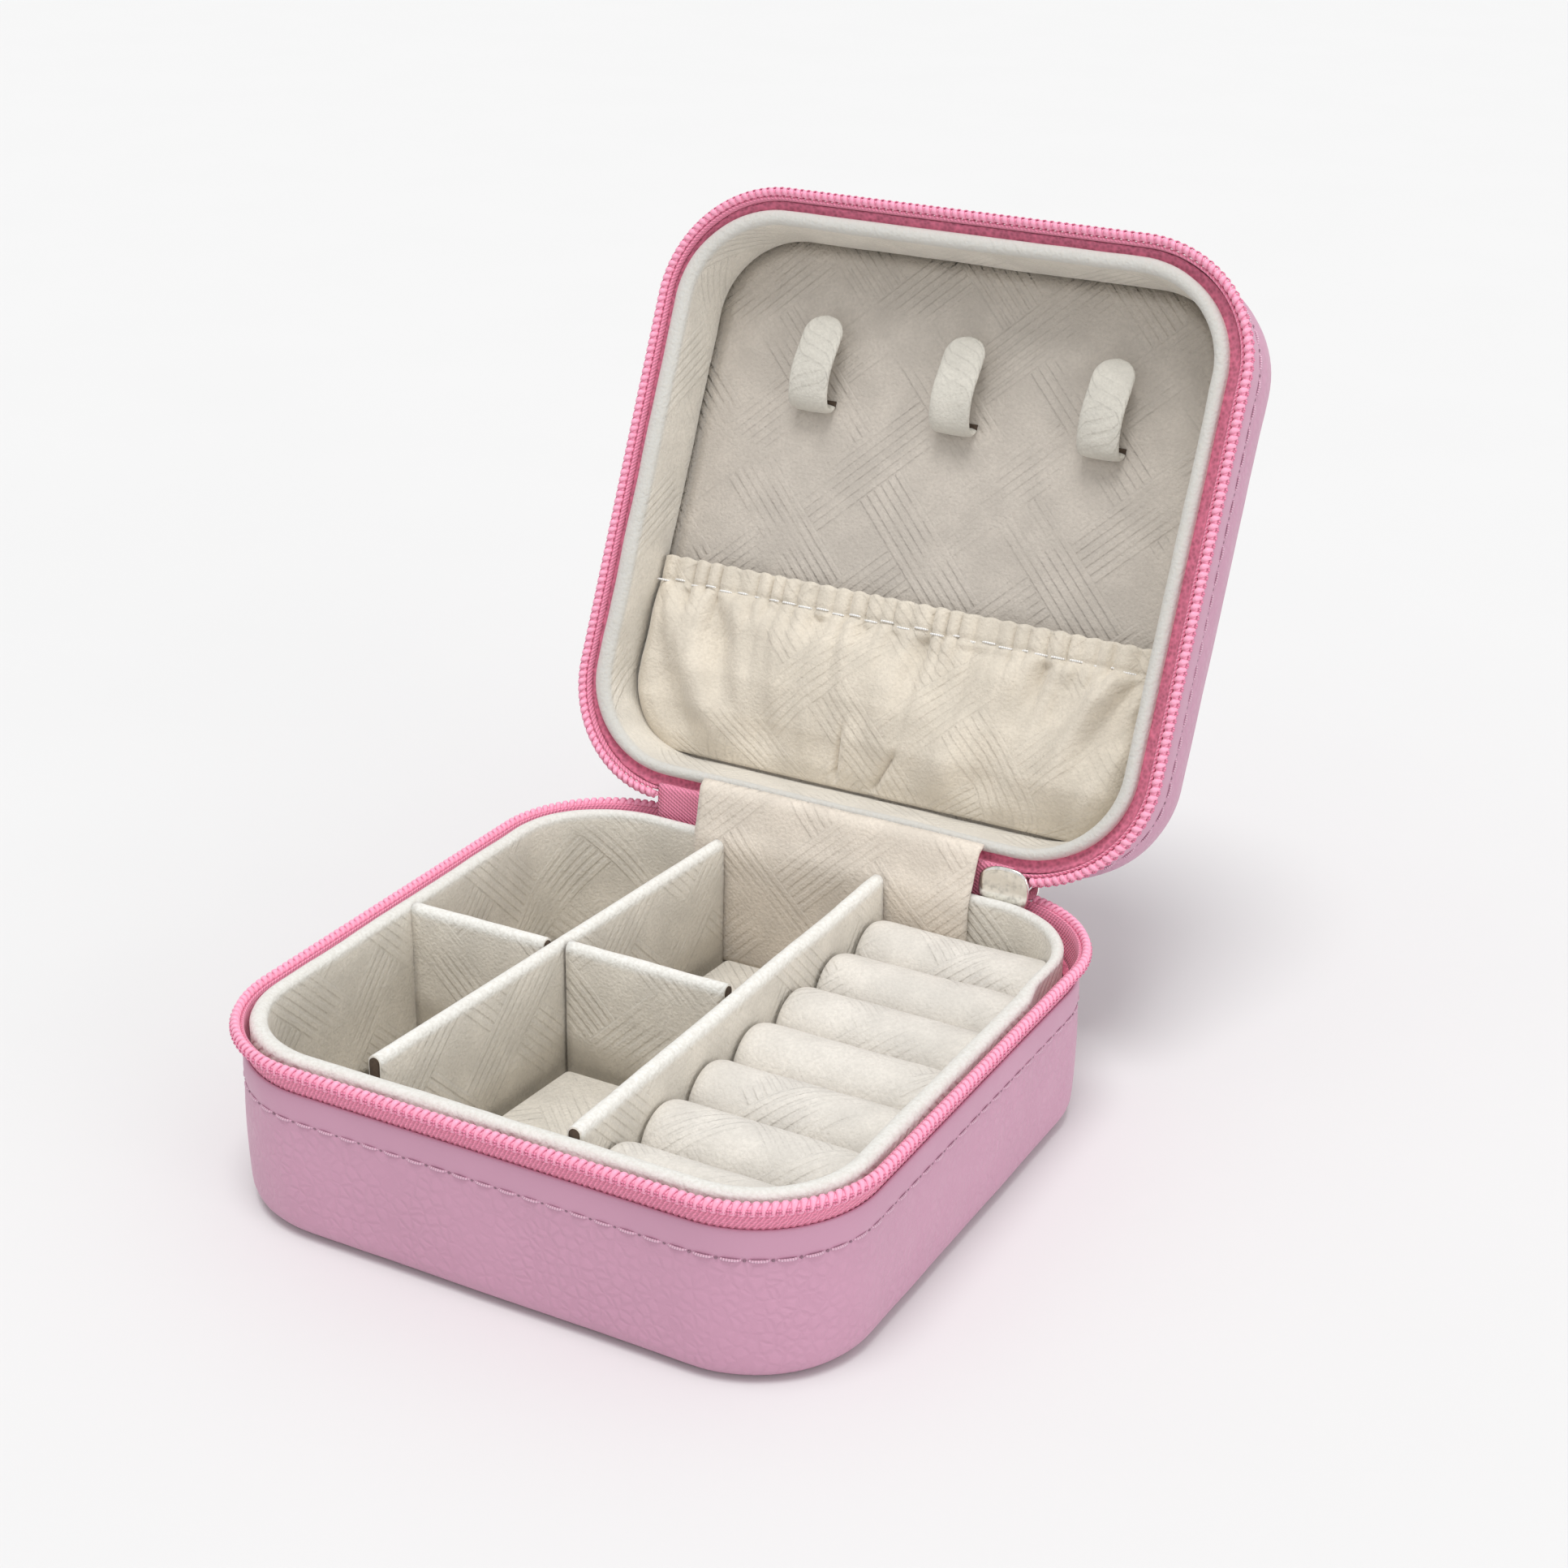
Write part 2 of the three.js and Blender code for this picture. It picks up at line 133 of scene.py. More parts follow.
class Shader:
    """A material's node tree, with short names for the nodes used here."""

    def __init__(self, name):
        self.material = bpy.data.materials.new(name)
        self.material.use_nodes = True
        self.tree = self.material.node_tree
        self.surface = self.tree.nodes["Principled BSDF"]

    def feed(self, socket, value):
        if isinstance(value, bpy.types.NodeSocket):
            self.tree.links.new(value, socket)
        else:
            socket.default_value = value

    def node(self, kind, **inputs):
        made = self.tree.nodes.new(kind)
        for name, value in inputs.items():
            self.feed(made.inputs[name.replace("_", " ")], value)
        return made

    def filled(self, made, values):
        for socket, value in zip(made.inputs, values):
            self.feed(socket, value)
        return made.outputs[0]

    def math(self, operation, a, b=0.0):
        made = self.tree.nodes.new("ShaderNodeMath")
        made.operation = operation
        return self.filled(made, (a, b))

    def times(self, a, b):
        return self.math("MULTIPLY", a, b)

    def plus(self, a, b):
        return self.math("ADD", a, b)

    def less(self, a, b):
        return self.math("SUBTRACT", a, b)

    def ramp(self, value, low, high, out_low=0.0, out_high=1.0):
        made = self.tree.nodes.new("ShaderNodeMapRange")
        made.interpolation_type = "SMOOTHSTEP"
        return self.filled(made, (value, low, high, out_low, out_high))

    def mix(self, share, a, b):
        made = self.tree.nodes.new("ShaderNodeMix")
        made.data_type = "RGBA"
        self.feed(made.inputs[0], share)
        self.feed(made.inputs[6], a)
        self.feed(made.inputs[7], b)
        return made.outputs[2]

    def tones(self, share, colour, low, high):
        return self.mix(share, tint(colour, low), tint(colour, high))

    def place(self):
        return self.node("ShaderNodeTexCoord").outputs["Object"]

    def across(self):
        """The two distances over the cloth, in metres."""
        split = self.node("ShaderNodeSeparateXYZ", Vector=self.node("ShaderNodeTexCoord").outputs["UV"])
        return split.outputs[0], split.outputs[1]

    def noise(self, size, detail=3.0):
        return self.node("ShaderNodeTexNoise", Vector=self.place(), Scale=1 / size, Detail=detail).outputs[0]

    def bump(self, height, depth, below=None):
        made = self.node("ShaderNodeBump", Height=height, Distance=depth, Strength=1.0)
        if below is not None:
            self.feed(made.inputs["Normal"], below)
        return made.outputs[0]

    def finish(self, colour, roughness, normal=None, **constants):
        self.feed(self.surface.inputs["Base Color"], colour)
        self.feed(self.surface.inputs["Roughness"], roughness)
        if normal is not None:
            self.feed(self.surface.inputs["Normal"], normal)
        for name, value in constants.items():
            self.surface.inputs[name.replace("_", " ")].default_value = value
        return self.material


def shade(colour, share):
    return tuple(min(255, c * share) for c in colour)


def tint(colour, share):
    return linear(shade(colour, share))


def leather(name, smooth_strip=0.0):
    """Grained imitation leather, with painted shade darkening the colour in its creases. The grained surface
    starts a strip's width from the edge, where v is 0.
    """
    s = Shader(name)
    wander = s.node("ShaderNodeTexNoise", Vector=s.place(), Scale=600.0, Detail=2.0).outputs["Color"]
    bent = s.node("ShaderNodeVectorMath")
    bent.operation = "MULTIPLY_ADD"
    s.filled(bent, (wander, (0.0007, 0.0007, 0.0007), s.place()))
    cells = s.node("ShaderNodeTexVoronoi", Vector=bent.outputs[0], Scale=1 / 0.0017)
    cells.feature = "DISTANCE_TO_EDGE"
    creases = s.ramp(cells.outputs["Distance"], 0.0, 0.3)
    patchy = s.ramp(s.noise(0.009), 0.3, 0.66, 0.5, 1.0)
    grain_and_crease_shade = s.times(s.less(1.0, creases), patchy)
    if smooth_strip:
        down = s.across()[1]
        grain_and_crease_shade = s.times(grain_and_crease_shade, s.ramp(down, smooth_strip * MM, (smooth_strip + 0.9) * MM))
    pores = s.noise(0.00045, 2.0)
    wide = s.noise(0.022, 2.0)
    coloured = s.tones(wide, PINK_LEATHER, 0.97, 1.03)
    # Painted shade darkens the colour in the creases
    coloured = s.mix(s.times(grain_and_crease_shade, 0.14), coloured, tint(PINK_LEATHER, 0.86))
    rough = s.ramp(s.noise(0.004), 0.2, 0.8, 0.42, 0.56)
    normal = s.bump(wide, 0.0003)
    normal = s.bump(s.less(1.0, grain_and_crease_shade), 0.00008, normal)
    normal = s.bump(pores, 0.00003, normal)
    return s.finish(coloured, rough, normal, Specular_IOR_Level=0.42, Sheen_Weight=0.08)


def embossing(s):
    """Bands of pressed lines woven over and under each other at 45 degrees, with plain squares between."""
    u, v = s.across()
    diagonal = 1 / (BAND_WIDTH * MM * math.sqrt(2))
    p = s.plus(s.times(s.plus(u, v), diagonal), 100.3)
    q = s.plus(s.times(s.less(u, v), diagonal), 100.7)

    def odd(x):
        return s.math("MODULO", s.math("FLOOR", x), 2.0)

    over = s.math("MODULO", s.plus(s.math("FLOOR", s.math("DIVIDE", p, 2.0)),
                                   s.math("FLOOR", s.math("DIVIDE", q, 2.0))), 2.0)
    row = s.less(1.0, odd(q))
    column = s.less(1.0, odd(p))
    crossing = s.times(row, column)
    row = s.times(row, s.less(1.0, s.times(crossing, over)))
    column = s.times(column, s.less(1.0, s.times(crossing, s.less(1.0, over))))

    def grooves(x):
        wave = s.math("COSINE", s.times(x, 2 * math.pi * BAND_LINES))
        return s.ramp(wave, -0.3, 1.0)

    pressed = s.math("MAXIMUM", s.times(row, grooves(q)), s.times(column, grooves(p)))
    return s.times(pressed, s.ramp(s.noise(0.014, 2.0), 0.38, 0.56, 0.12, 1.0))


def velvet(name, colour, pressed=1.0, sheen=0.3, rim=None, rim_highlight_level=1.0):
    """Short-piled velvet with lines pressed into it, the lines darkened in colour as painted shade. A painted
    highlight makes it pale between the two distances of rim.
    """
    s = Shader(name)
    lines = embossing(s)
    fuzz = s.noise(0.0005, 5.0)
    nap = s.ramp(s.noise(0.006, 3.0), 0.3, 0.7)
    coloured = s.tones(nap, colour, 0.965, 1.03)
    if rim:
        # Painted highlight over the rim band
        across = s.across()[1]
        risen = s.ramp(across, (rim[0] - 0.5) * MM, (rim[0] + 0.5) * MM)
        fallen = s.ramp(across, (rim[1] - 0.5) * MM, (rim[1] + 0.7) * MM, 1.0, 0.0)
        rim_highlight_mask = s.times(risen, fallen)
        coloured = s.mix(s.times(rim_highlight_mask, 0.85), coloured, tint(RIM_HIGHLIGHT, rim_highlight_level))
        lines = s.times(lines, s.less(1.0, s.times(rim_highlight_mask, 0.8)))
    # Painted shade: the pressed lines are darkened in colour
    coloured = s.mix(s.times(lines, 0.08 * pressed), coloured, tint(colour, 0.8))
    coloured = s.mix(s.ramp(fuzz, 0.3, 0.7, 0.0, 0.4), coloured, tint(colour, 0.9))
    normal = s.bump(s.noise(0.005, 2.0), 0.0001)
    normal = s.bump(s.less(1.0, lines), 0.00012 * pressed, normal)
    normal = s.bump(fuzz, 0.00018, normal)
    return s.finish(coloured, 0.95, normal, Sheen_Weight=sheen, Sheen_Roughness=0.45,
                    Sheen_Tint=(1, 0.99, 0.97, 1), Specular_IOR_Level=0.15)


def woven_tape(name):
    """Twill-woven zip tape."""
    s = Shader(name)
    u, v = s.across()
    twill = s.math("SINE", s.times(s.plus(u, s.times(v, 0.6)), 2 * math.pi / 0.00062))
    yarns = s.math("SINE", s.times(v, 2 * math.pi / 0.0005))
    weave = s.ramp(s.plus(twill, s.times(yarns, 0.5)), -1.2, 1.2)
    coloured = s.tones(weave, PINK_TAPE, 0.86, 1.05)
    coloured = s.mix(s.times(s.noise(0.003), 0.3), coloured, tint(PINK_TAPE, 0.92))
    return s.finish(coloured, 0.75, s.bump(weave, 0.00012), Sheen_Weight=0.2, Specular_IOR_Level=0.25)


def coil_nylon(name):
    s = Shader(name)
    tone = s.noise(0.0016, 2.0)
    coloured = s.tones(tone, PINK_COIL, 0.95, 1.03)
    return s.finish(coloured, s.ramp(s.noise(0.0008), 0.2, 0.8, 0.34, 0.5), s.bump(s.noise(0.0004), 0.00003),
                    Specular_IOR_Level=0.45)


def sewing_thread(name, colour):
    s = Shader(name)
    u = s.across()[0]
    twist = s.math("SINE", s.times(u, 2 * math.pi / 0.00035))
    coloured = s.tones(s.ramp(twist, -1.0, 1.0), colour, 0.9, 1.06)
    return s.finish(coloured, 0.6, s.bump(twist, 0.00004), Sheen_Weight=0.15)


def raw_card(name):
    s = Shader(name)
    fibres = s.noise(1 / 2400, 5.0)
    layers = s.noise(0.0012, 3.0)
    coloured = s.tones(fibres, CARD, 0.75, 1.25)
    coloured = s.mix(s.times(layers, 0.4), coloured, tint(CARD, 0.8))
    return s.finish(coloured, 0.92, s.bump(fibres, 0.00012))


def cloth_backing(name):
    """The knitted cloth behind the leather, in a darker pink that paints the shade where it shows in the gaps."""
    s = Shader(name)
    knit = s.node("ShaderNodeTexVoronoi", Vector=s.place(), Scale=1500.0).outputs["Distance"]
    coloured = s.tones(knit, SHADED_BACKING, 0.8, 1.1)
    return s.finish(coloured, 0.95, s.bump(knit, 0.0001))


def polished_metal(name):
    """Nickel plating with faint wear."""
    s = Shader(name)
    wear = s.noise(0.0011, 5.0)
    scratches = s.noise(1 / 900, 6.0)
    coloured = s.mix(s.ramp(wear, 0.45, 0.75), linear(SILVER), tint(SILVER, 0.82))
    rough = s.ramp(wear, 0.3, 0.8, 0.1, 0.24)
    normal = s.bump(s.noise(0.003, 1.0), 0.00008)
    return s.finish(coloured, rough, s.bump(scratches, 0.000004, normal), Metallic=1.0)


def floor_paint(name):
    s = Shader(name)
    tone = s.noise(0.05, 3.0)
    coloured = s.mix(tone, *[linear((grey, grey, grey)) for grey in FLOOR_GREYS])
    return s.finish(coloured, 0.9, s.bump(tone, 0.00005), Specular_IOR_Level=0.1)


# ---- the outline ----

STRAIGHT = 2 * CORE


def outline_length(inset):
    return 4 * STRAIGHT + 2 * math.pi * (CORNER - inset)


def station(s, inset):
    """The core point and outward direction at a distance round the outline, from the rear's middle rightwards."""
    arc = (CORNER - inset) * math.pi / 2
    s = s % outline_length(inset)
    s += CORE
    x, y, angle = -CORE, CORE, math.pi / 2
    while True:
        if s <= STRAIGHT:
            along = Vector((math.sin(angle), -math.cos(angle)))
            return x + along.x * s, y + along.y * s, math.cos(angle), math.sin(angle)
        x += math.sin(angle) * STRAIGHT
        y -= math.cos(angle) * STRAIGHT
        s -= STRAIGHT
        if s <= arc:
            turned = angle - s / arc * math.pi / 2
            return x, y, math.cos(turned), math.sin(turned)
        s -= arc
        angle -= math.pi / 2


class Track:
    """Stations along the outline at one inset, all the way round or open behind. gap is half the opening, and
    left_gap its left half if that differs. flare is how far the stations stand further out on the right."""

    def __init__(self, inset, step, gap=0.0, flare=0.0, left_gap=None):
        whole = outline_length(inset)
        first, last = gap, whole - (gap if left_gap is None else left_gap)
        self.closed = gap == 0
        count = max(3, round((last - first) / step))
        self.far = np.linspace(first, last, count + 1)
        if self.closed:
            self.far = self.far[:-1]
        found = np.array([station(s, inset) for s in self.far])
        self.core, self.out = found[:, :2], found[:, 2:]
        self.along = np.stack([self.out[:, 1], -self.out[:, 0]], 1)
        self.end = last
        self.flare = flare * self.towards(1, 0)

    def towards(self, x, y):
        """A share from 0 to 1 for each station: how squarely it faces that way."""
        return np.clip(self.out[:, 0] * x + self.out[:, 1] * y, 0, 1) ** 2

    def point(self, inset, height, ahead=0.0):
        """Points by distance in from the outline, height and distance along, each one number or one a station."""
        inset = (np.broadcast_to(inset, (len(self.far),)) - self.flare)[:, None]
        ahead = np.broadcast_to(ahead, (len(self.far),))[:, None]
        flat = self.core + self.out * (CORNER - inset) + self.along * ahead
        return np.column_stack([flat, np.broadcast_to(height, (len(self.far),))])


def level(directions):
    """Flat directions as directions in space."""
    return np.hstack([directions, np.zeros((len(directions), 1))])


def waver(size, seed, points):
    """Smooth noise from -1 to 1 at points in millimetres."""
    shift = Vector((seed * 17.3, seed * 5.1, seed * 9.7))
    return np.array([noise.noise(Vector(p) / size + shift) for p in points])


# ---- meshes ----

def added(name, data):
    piece = bpy.data.objects.new(name, data)
    bpy.context.scene.collection.objects.link(piece)
    return piece


def build(name, points, faces, uvs, material, smooth=True):
    """A mesh object from points and uvs in millimetres. uvs has one pair for each corner of each face."""
    mesh = bpy.data.meshes.new(name)
    mesh.from_pydata((np.asarray(points, float) * MM).tolist(), [], [list(map(int, f)) for f in faces])
    layer = mesh.uv_layers.new(name="UVMap")
    layer.data.foreach_set("uv", (np.asarray(uvs, float) * MM).astype(np.float32).ravel())
    made = bmesh.new()
    made.from_mesh(mesh)
    bmesh.ops.recalc_face_normals(made, faces=made.faces)
    made.to_mesh(mesh)
    made.free()
    mesh.polygons.foreach_set("use_smooth", [smooth] * len(mesh.polygons))
    mesh.materials.append(material)
    return added(name, mesh)


def skin(rows, us, vs, close_rows=False, close_across=False, cap_rows=False, cap_across=False):
    """Points, faces and uvs over a grid of points, with flat faces over its open ends where asked."""
    rows = np.asarray(rows, float)
    n, m = rows.shape[:2]
    faces, uvs = [], []
    for i in range(n if close_rows else n - 1):
        for j in range(m if close_across else m - 1):
            k, l = (i + 1) % n, (j + 1) % m
            faces.append((i * m + j, i * m + l, k * m + l, k * m + j))
            uvs += [(us[i], vs[j]), (us[i], vs[j + 1]), (us[i + 1], vs[j + 1]), (us[i + 1], vs[j])]
    flat = rows.reshape(-1, 3)
    caps = []
    if cap_rows:
        caps += [list(range(m)), list(range((n - 1) * m, n * m))]
    if cap_across:
        caps += [list(range(0, n * m, m)), list(range(m - 1, n * m, m))]
    for cap in caps:
        faces.append(tuple(cap))
        uvs += [(flat[k][0], flat[k][1]) for k in cap]
    return flat, faces, uvs


def closed_skin(rows, us, vs):
    """A skin round closed sections, with flat faces over both ends."""
    return skin(rows, us, vs, close_across=True, cap_rows=True)


def lengths(points, closed=False):
    """Distances along a line of points, with one more for the way back to the first if it is closed."""
    points = np.asarray(points, float)
    if closed:
        points = np.vstack([points, points[:1]])
    return np.concatenate([[0], np.cumsum(np.linalg.norm(np.diff(points, axis=0), axis=1))])


def swept(name, track, profile, material, solid=True, ripple=None):
    """A profile of (inset, height) points carried round the outline. It is closed if solid, and otherwise flat
    faces fill the middle at both its ends. ripple gives an outward move for each point."""
    rows = np.stack([track.point(inset, height) for inset, height in profile], 1)
    if ripple is not None:
        moves = np.stack([ripple(track, rows[:, j], j) for j in range(len(profile))], 1)
        rows[:, :, :2] += track.out[:, None, :] * moves[:, :, None]
    parts = skin(rows, [*track.far, track.end], lengths(profile, closed=solid), close_rows=track.closed,
                 close_across=solid, cap_rows=solid and not track.closed, cap_across=not solid)
    return build(name, *parts, material)


def headings(line):
    """The direction of a line at each of its points."""
    ahead = np.gradient(line, axis=0)
    return ahead / np.linalg.norm(ahead, axis=1)[:, None]


def tube(line, sideways, wide, high, sides=6):
    """Rows of points round a line. wide is the tube's half-size towards sideways, and high the other one."""
    ahead = headings(line)
    side = sideways - (sideways * ahead).sum(1)[:, None] * ahead
    side /= np.linalg.norm(side, axis=1)[:, None]
    up = np.cross(ahead, side)
    turn = np.arange(sides) / sides * 2 * math.pi
    wide = np.broadcast_to(wide, (len(line),))[:, None, None]
    high = np.broadcast_to(high, (len(line),))[:, None, None]
    return (line[:, None, :] + side[:, None, :] * wide * np.cos(turn)[None, :, None]
            + up[:, None, :] * high * np.sin(turn)[None, :, None])


def gather(name, parts, material):
    """One piece from several (points, faces, uvs)."""
    points, faces, uvs, start = [], [], [], 0
    for some, those, flat in parts:
        points.append(some)
        faces += [tuple(k + start for k in face) for face in those]
        uvs += list(flat)
        start += len(some)
    return build(name, np.vstack(points), faces, uvs, material)


def lid_matrix():
    """Turns a point of the closed lid to where it stands at rest."""
    hinge = next(joint for joint in frame["joints"] if joint["name"] == "lid_hinge")
    pivot = Vector(hinge["pos_m"])
    turn = Matrix.Rotation(math.radians(-hinge["range_deg"][0]), 4, Vector(hinge["axis"]))
    return Matrix.Translation(pivot) @ turn @ Matrix.Translation(-pivot)


LID = lid_matrix()


def lid_point(y, height):
    """Where a point of the closed lid stands at rest, as (y, z)."""
    at = LID @ Vector((0, y * MM, (LID_ZERO + height) * MM))
    return at.y / MM, at.z / MM


def belongs(piece, body, material_slot, *nodes):
    """Gives a piece to a body, in place of nodes. A piece of the lid is turned to where it stands."""
    if body == "lid":
        piece.data.transform(LID)
        piece.data.update()
    if nodes:
        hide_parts(*nodes)
    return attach(piece, body)


def smooth_line(points, count):
    """A smooth line through points, evenly spaced."""
    points = np.asarray(points, float)
    ends = np.vstack([2 * points[0] - points[1], points, 2 * points[-1] - points[-2]])
    fine = []
    for i in range(len(points) - 1):
        a, b, c, d = ends[i:i + 4]
        for t in np.linspace(0, 1, 24, endpoint=False):
            fine.append(0.5 * (2 * b + (c - a) * t + (2 * a - 5 * b + 4 * c - d) * t * t
                               + (3 * b - a - 3 * c + d) * t ** 3))
    fine = np.array(fine + [points[-1]])
    far = lengths(fine)
    wanted = np.linspace(0, far[-1], count)
    return np.stack([np.interp(wanted, far, fine[:, k]) for k in range(fine.shape[1])], 1)


# ---- leather ----

FILLET = 3.6
RIM_INSET = 1.98


def skin_profile(rim, far):
    """The section of a leather tray, from its inner face over the rim and down the wall to its flat face."""
    down = 1 if far > rim else -1
    line = [(15.5, far - down * 3.0), (6.0, far - down * 3.0), (LEATHER_IN + 0.1, far - down * 4.2)]
    line += [(inset, rim + down * drop) for inset, drop in
             ((LEATHER_IN, 8), (LEATHER_IN, 0.8), (2.2, 0.25), (RIM_INSET, 0.03), (1.75, 0.12), (1.62, 0.45))]
    for drop in (1.2, 2.4, 3.5, 3.9, 4.15, STITCH_DROP, 4.65, 4.9, 5.4):
        dent = 0.16 * math.exp(-((drop - STITCH_DROP) / 0.34) ** 2)
        line.append((LEATHER_OUT + dent - 0.08 * math.sin(math.pi * min(drop, 3.5) / 3.5), rim + down * drop))
    wall = abs(far - rim) - FILLET
    for share in np.linspace(0.1, 1, 9):
        drop = 5.4 + (wall - 5.4) * share
        line.append((LEATHER_OUT - 0.22 * math.sin(math.pi * share), rim + down * drop))
    for turn in np.linspace(0, math.pi / 2, 9)[1:]:
        line.append((LEATHER_OUT + FILLET * (1 - math.cos(turn)), far - down * FILLET * (1 - math.sin(turn))))
    line += [(8.5, far), (15.5, far)]
    return line


def leather_skin(body, rim, far, seed, *nodes):
    name = body + "_skin"
    profile = skin_profile(rim, far)
    rim_place = [inset for inset, height in profile].index(RIM_INSET)

    def ripple(track, points, j):
        inset, height = profile[j]
        if j <= rim_place + 3 or abs(height - far) < 0.6:
            return np.zeros(len(points))
        return 0.13 * waver(16, seed, points) + 0.05 * waver(5, seed + 3, points)

    track = Track(LEATHER_OUT, 1.1, 0.0, FLARE[body])
    piece = swept(name, track, profile, leather(name, STITCH_DROP), solid=False, ripple=ripple)
    layer = piece.data.uv_layers[0]
    uvs = np.zeros(len(layer.data) * 2, np.float32)
    layer.data.foreach_get("uv", uvs)
    uvs[1::2] -= lengths(profile)[rim_place] * MM
    layer.data.foreach_set("uv", uvs)
    belongs(piece, body, "leather", *nodes)


def stitch_parts(places, aheads, outs, length=2.75, half=0.2):
    """Threads that dip into the cloth at both ends, one for each place."""
    parts = []
    shares = np.array([-1, -0.9, -0.6, 0, 0.6, 0.9, 1.0])
    depth = np.array([-0.34, -0.16, 0.04, 0.1, 0.04, -0.16, -0.34])
    size = np.array([0.45, 0.85, 1, 1.06, 1, 0.85, 0.45]) * half
    for at, ahead, out in zip(places, aheads, outs):
        line = at + ahead * (shares * length / 2)[:, None] + out * depth[:, None]
        rows = tube(line, np.broadcast_to(np.cross(ahead, out), (7, 3)), size, size)
        parts.append(closed_skin(rows, shares * length / 2, np.linspace(0, 1.4, 7)))
    return parts


def hole_parts(places, aheads, outs):
    """Small sockets where the needle went in, halfway between threads; stitching() colours them darker than the
    leather as painted shade.
    """
    parts = []
    turn = np.arange(8) / 8 * 2 * math.pi
    for at, ahead, out in zip(places, aheads, outs):
        middle = at + ahead * STITCH_PITCH / 2 - out * 0.05
        ring = np.cos(turn)[:, None] * ahead * 1.35 + np.sin(turn)[:, None] * np.cross(ahead, out)
        rows = [middle + ring * size + out * lift
                for size, lift in ((0.19, -0.12), (0.1425, 0.02), (0.057, 0.05))]
        parts.append(closed_skin(rows, [0, 0.2, 0.4], np.linspace(0, 1, 9)))
    return parts


def stitching(body, height):
    """A row of stitches all round a wall, apart from behind the hinge strip."""
    name = body + "_stitch"
    track = Track(LEATHER_OUT, STITCH_PITCH, 0.0, FLARE[body])
    behind = track.core[:, 1] + track.out[:, 1] > CORE + 0.9
    keep = ~(behind & (np.abs(track.core[:, 0]) < HINGE_WIDTH / 2 + 1.5))
    places = track.point(LEATHER_OUT + 0.02, height)[keep]
    aheads, outs = level(track.along[keep]), level(track.out[keep])
    threads = gather(name + "_threads", stitch_parts(places, aheads, outs), sewing_thread(name, PINK_THREAD))
    # The holes get a darker leather colour as painted shade
    holes = gather(name + "_holes", hole_parts(places, aheads, outs),
                   sewing_thread(name + "_hole", shade(PINK_LEATHER, 0.8)))
    for piece in (threads, holes):
        belongs(piece, body, "leather")


def make_leather():
    leather_skin("base", BASE_RIM, 0.0, 1, "base_leather_band", "base_bottom_cover")
    leather_skin("lid", LID_ZERO + LID_RIM, LID_ZERO + LID_TOP, 2, "lid_leather_band", "lid_top_cover")
    stitching("base", BASE_RIM - STITCH_DROP)
    stitching("lid", LID_ZERO + LID_RIM + STITCH_DROP)


# ---- zip ----

TAPE_SECTION = [(TAPE_OUT + 0.55, -9.0), (TAPE_OUT + 0.05, -9.0), (TAPE_OUT, -4.6), (2.25, -4.1), (1.95, -3.3),
                (1.66, -2.5), (1.5, -1.8), (1.5, 0.0), (1.72, 0.2), (1.95, 0.0), (2.0, -1.8), (2.45, -3.3),
                (2.8, -4.8)]


def zip_side(body, middle, up, left_gap, *coil_nodes):
    """One side of the zip: its tape, coil, core and sewing. up is 1 if the coil's heads point up, or -1."""
    name = body + "_zip_side"
    flare = FLARE[body]

    def rise(height):
        return middle + up * height

    def ribs(track, points, j):
        if j not in (3, 4, 5, 6):
            return np.zeros(len(points))
        return 0.12 * np.sin(2 * math.pi * (track.far + up * points[:, 2] * 1.1) / 0.95)

    track = Track(TAPE_OUT, 0.31, TAPE_GAP + 0.3, flare)
    section = [(inset, rise(height)) for inset, height in TAPE_SECTION]
    tape = swept(name + "_tape", track, section, woven_tape(name + "_tape"), ripple=ribs)

    track = Track(0.8, COIL_PITCH / 14, COIL_GAP, flare, left_gap)
    turn = 2 * math.pi * track.far / COIL_PITCH
    inset = 0.8 + 0.44 * np.cos(turn)
    height = rise(-0.12 + 0.78 * np.sin(turn))
    line = track.point(inset, height)
    heads = np.clip(np.sin(turn), 0, 1) ** 3
    feet = np.clip(-np.sin(turn), 0, 1) ** 3
    rows = tube(line, level(track.along), 0.4 + 0.1 * heads + 0.1 * feet, 0.28 + 0.08 * heads)
    coil = build(name + "_coil", *closed_skin(rows, lengths(line), np.linspace(0, 1.8, 7)),
                 coil_nylon(name + "_coil"))

    turns = np.arange(10) / 10 * 2 * math.pi
    circle = [(0.82 + 0.52 * math.cos(turn), rise(-0.18 + 0.7 * math.sin(turn))) for turn in turns]
    track = Track(0.9, 0.8, COIL_GAP, flare, left_gap)
    core = swept(name + "_core", track, circle, coil_nylon(name + "_core"))

    threads = []
    for height in (-0.45, -0.05):
        sew = Track(0.8, COIL_PITCH / 8, COIL_GAP, flare, left_gap)
        wave = np.cos(2 * math.pi * sew.far / COIL_PITCH)
        line = sew.point(0.17 - 0.12 * wave, rise(height) + 0.05 * wave)
        rows = tube(line, level(sew.out), 0.12, 0.15, 5)
        threads.append(closed_skin(rows, lengths(line), np.linspace(0, 1, 6)))
    # The sewing's deeper pink is partly thread colour, partly painted shade
    sewing = gather(name + "_sewing", threads, sewing_thread(name + "_sewing", SEWING_WITH_GAP_SHADE))
    belongs(tape, body, "zip_tape", body + "_zip_tape")
    belongs(coil, body, "zip_coil", *coil_nodes)
    belongs(core, body, "zip_tape")
    belongs(sewing, body, "zip_coil")


def make_zip():
    zip_side("base", COIL_MIDDLE, 1, 25.0, "base_zip_coil")
    zip_side("lid", LID_ZERO, -1, 31.5, "lid_zip_coil", "lid_zip_coil_end")


# ---- lining ----

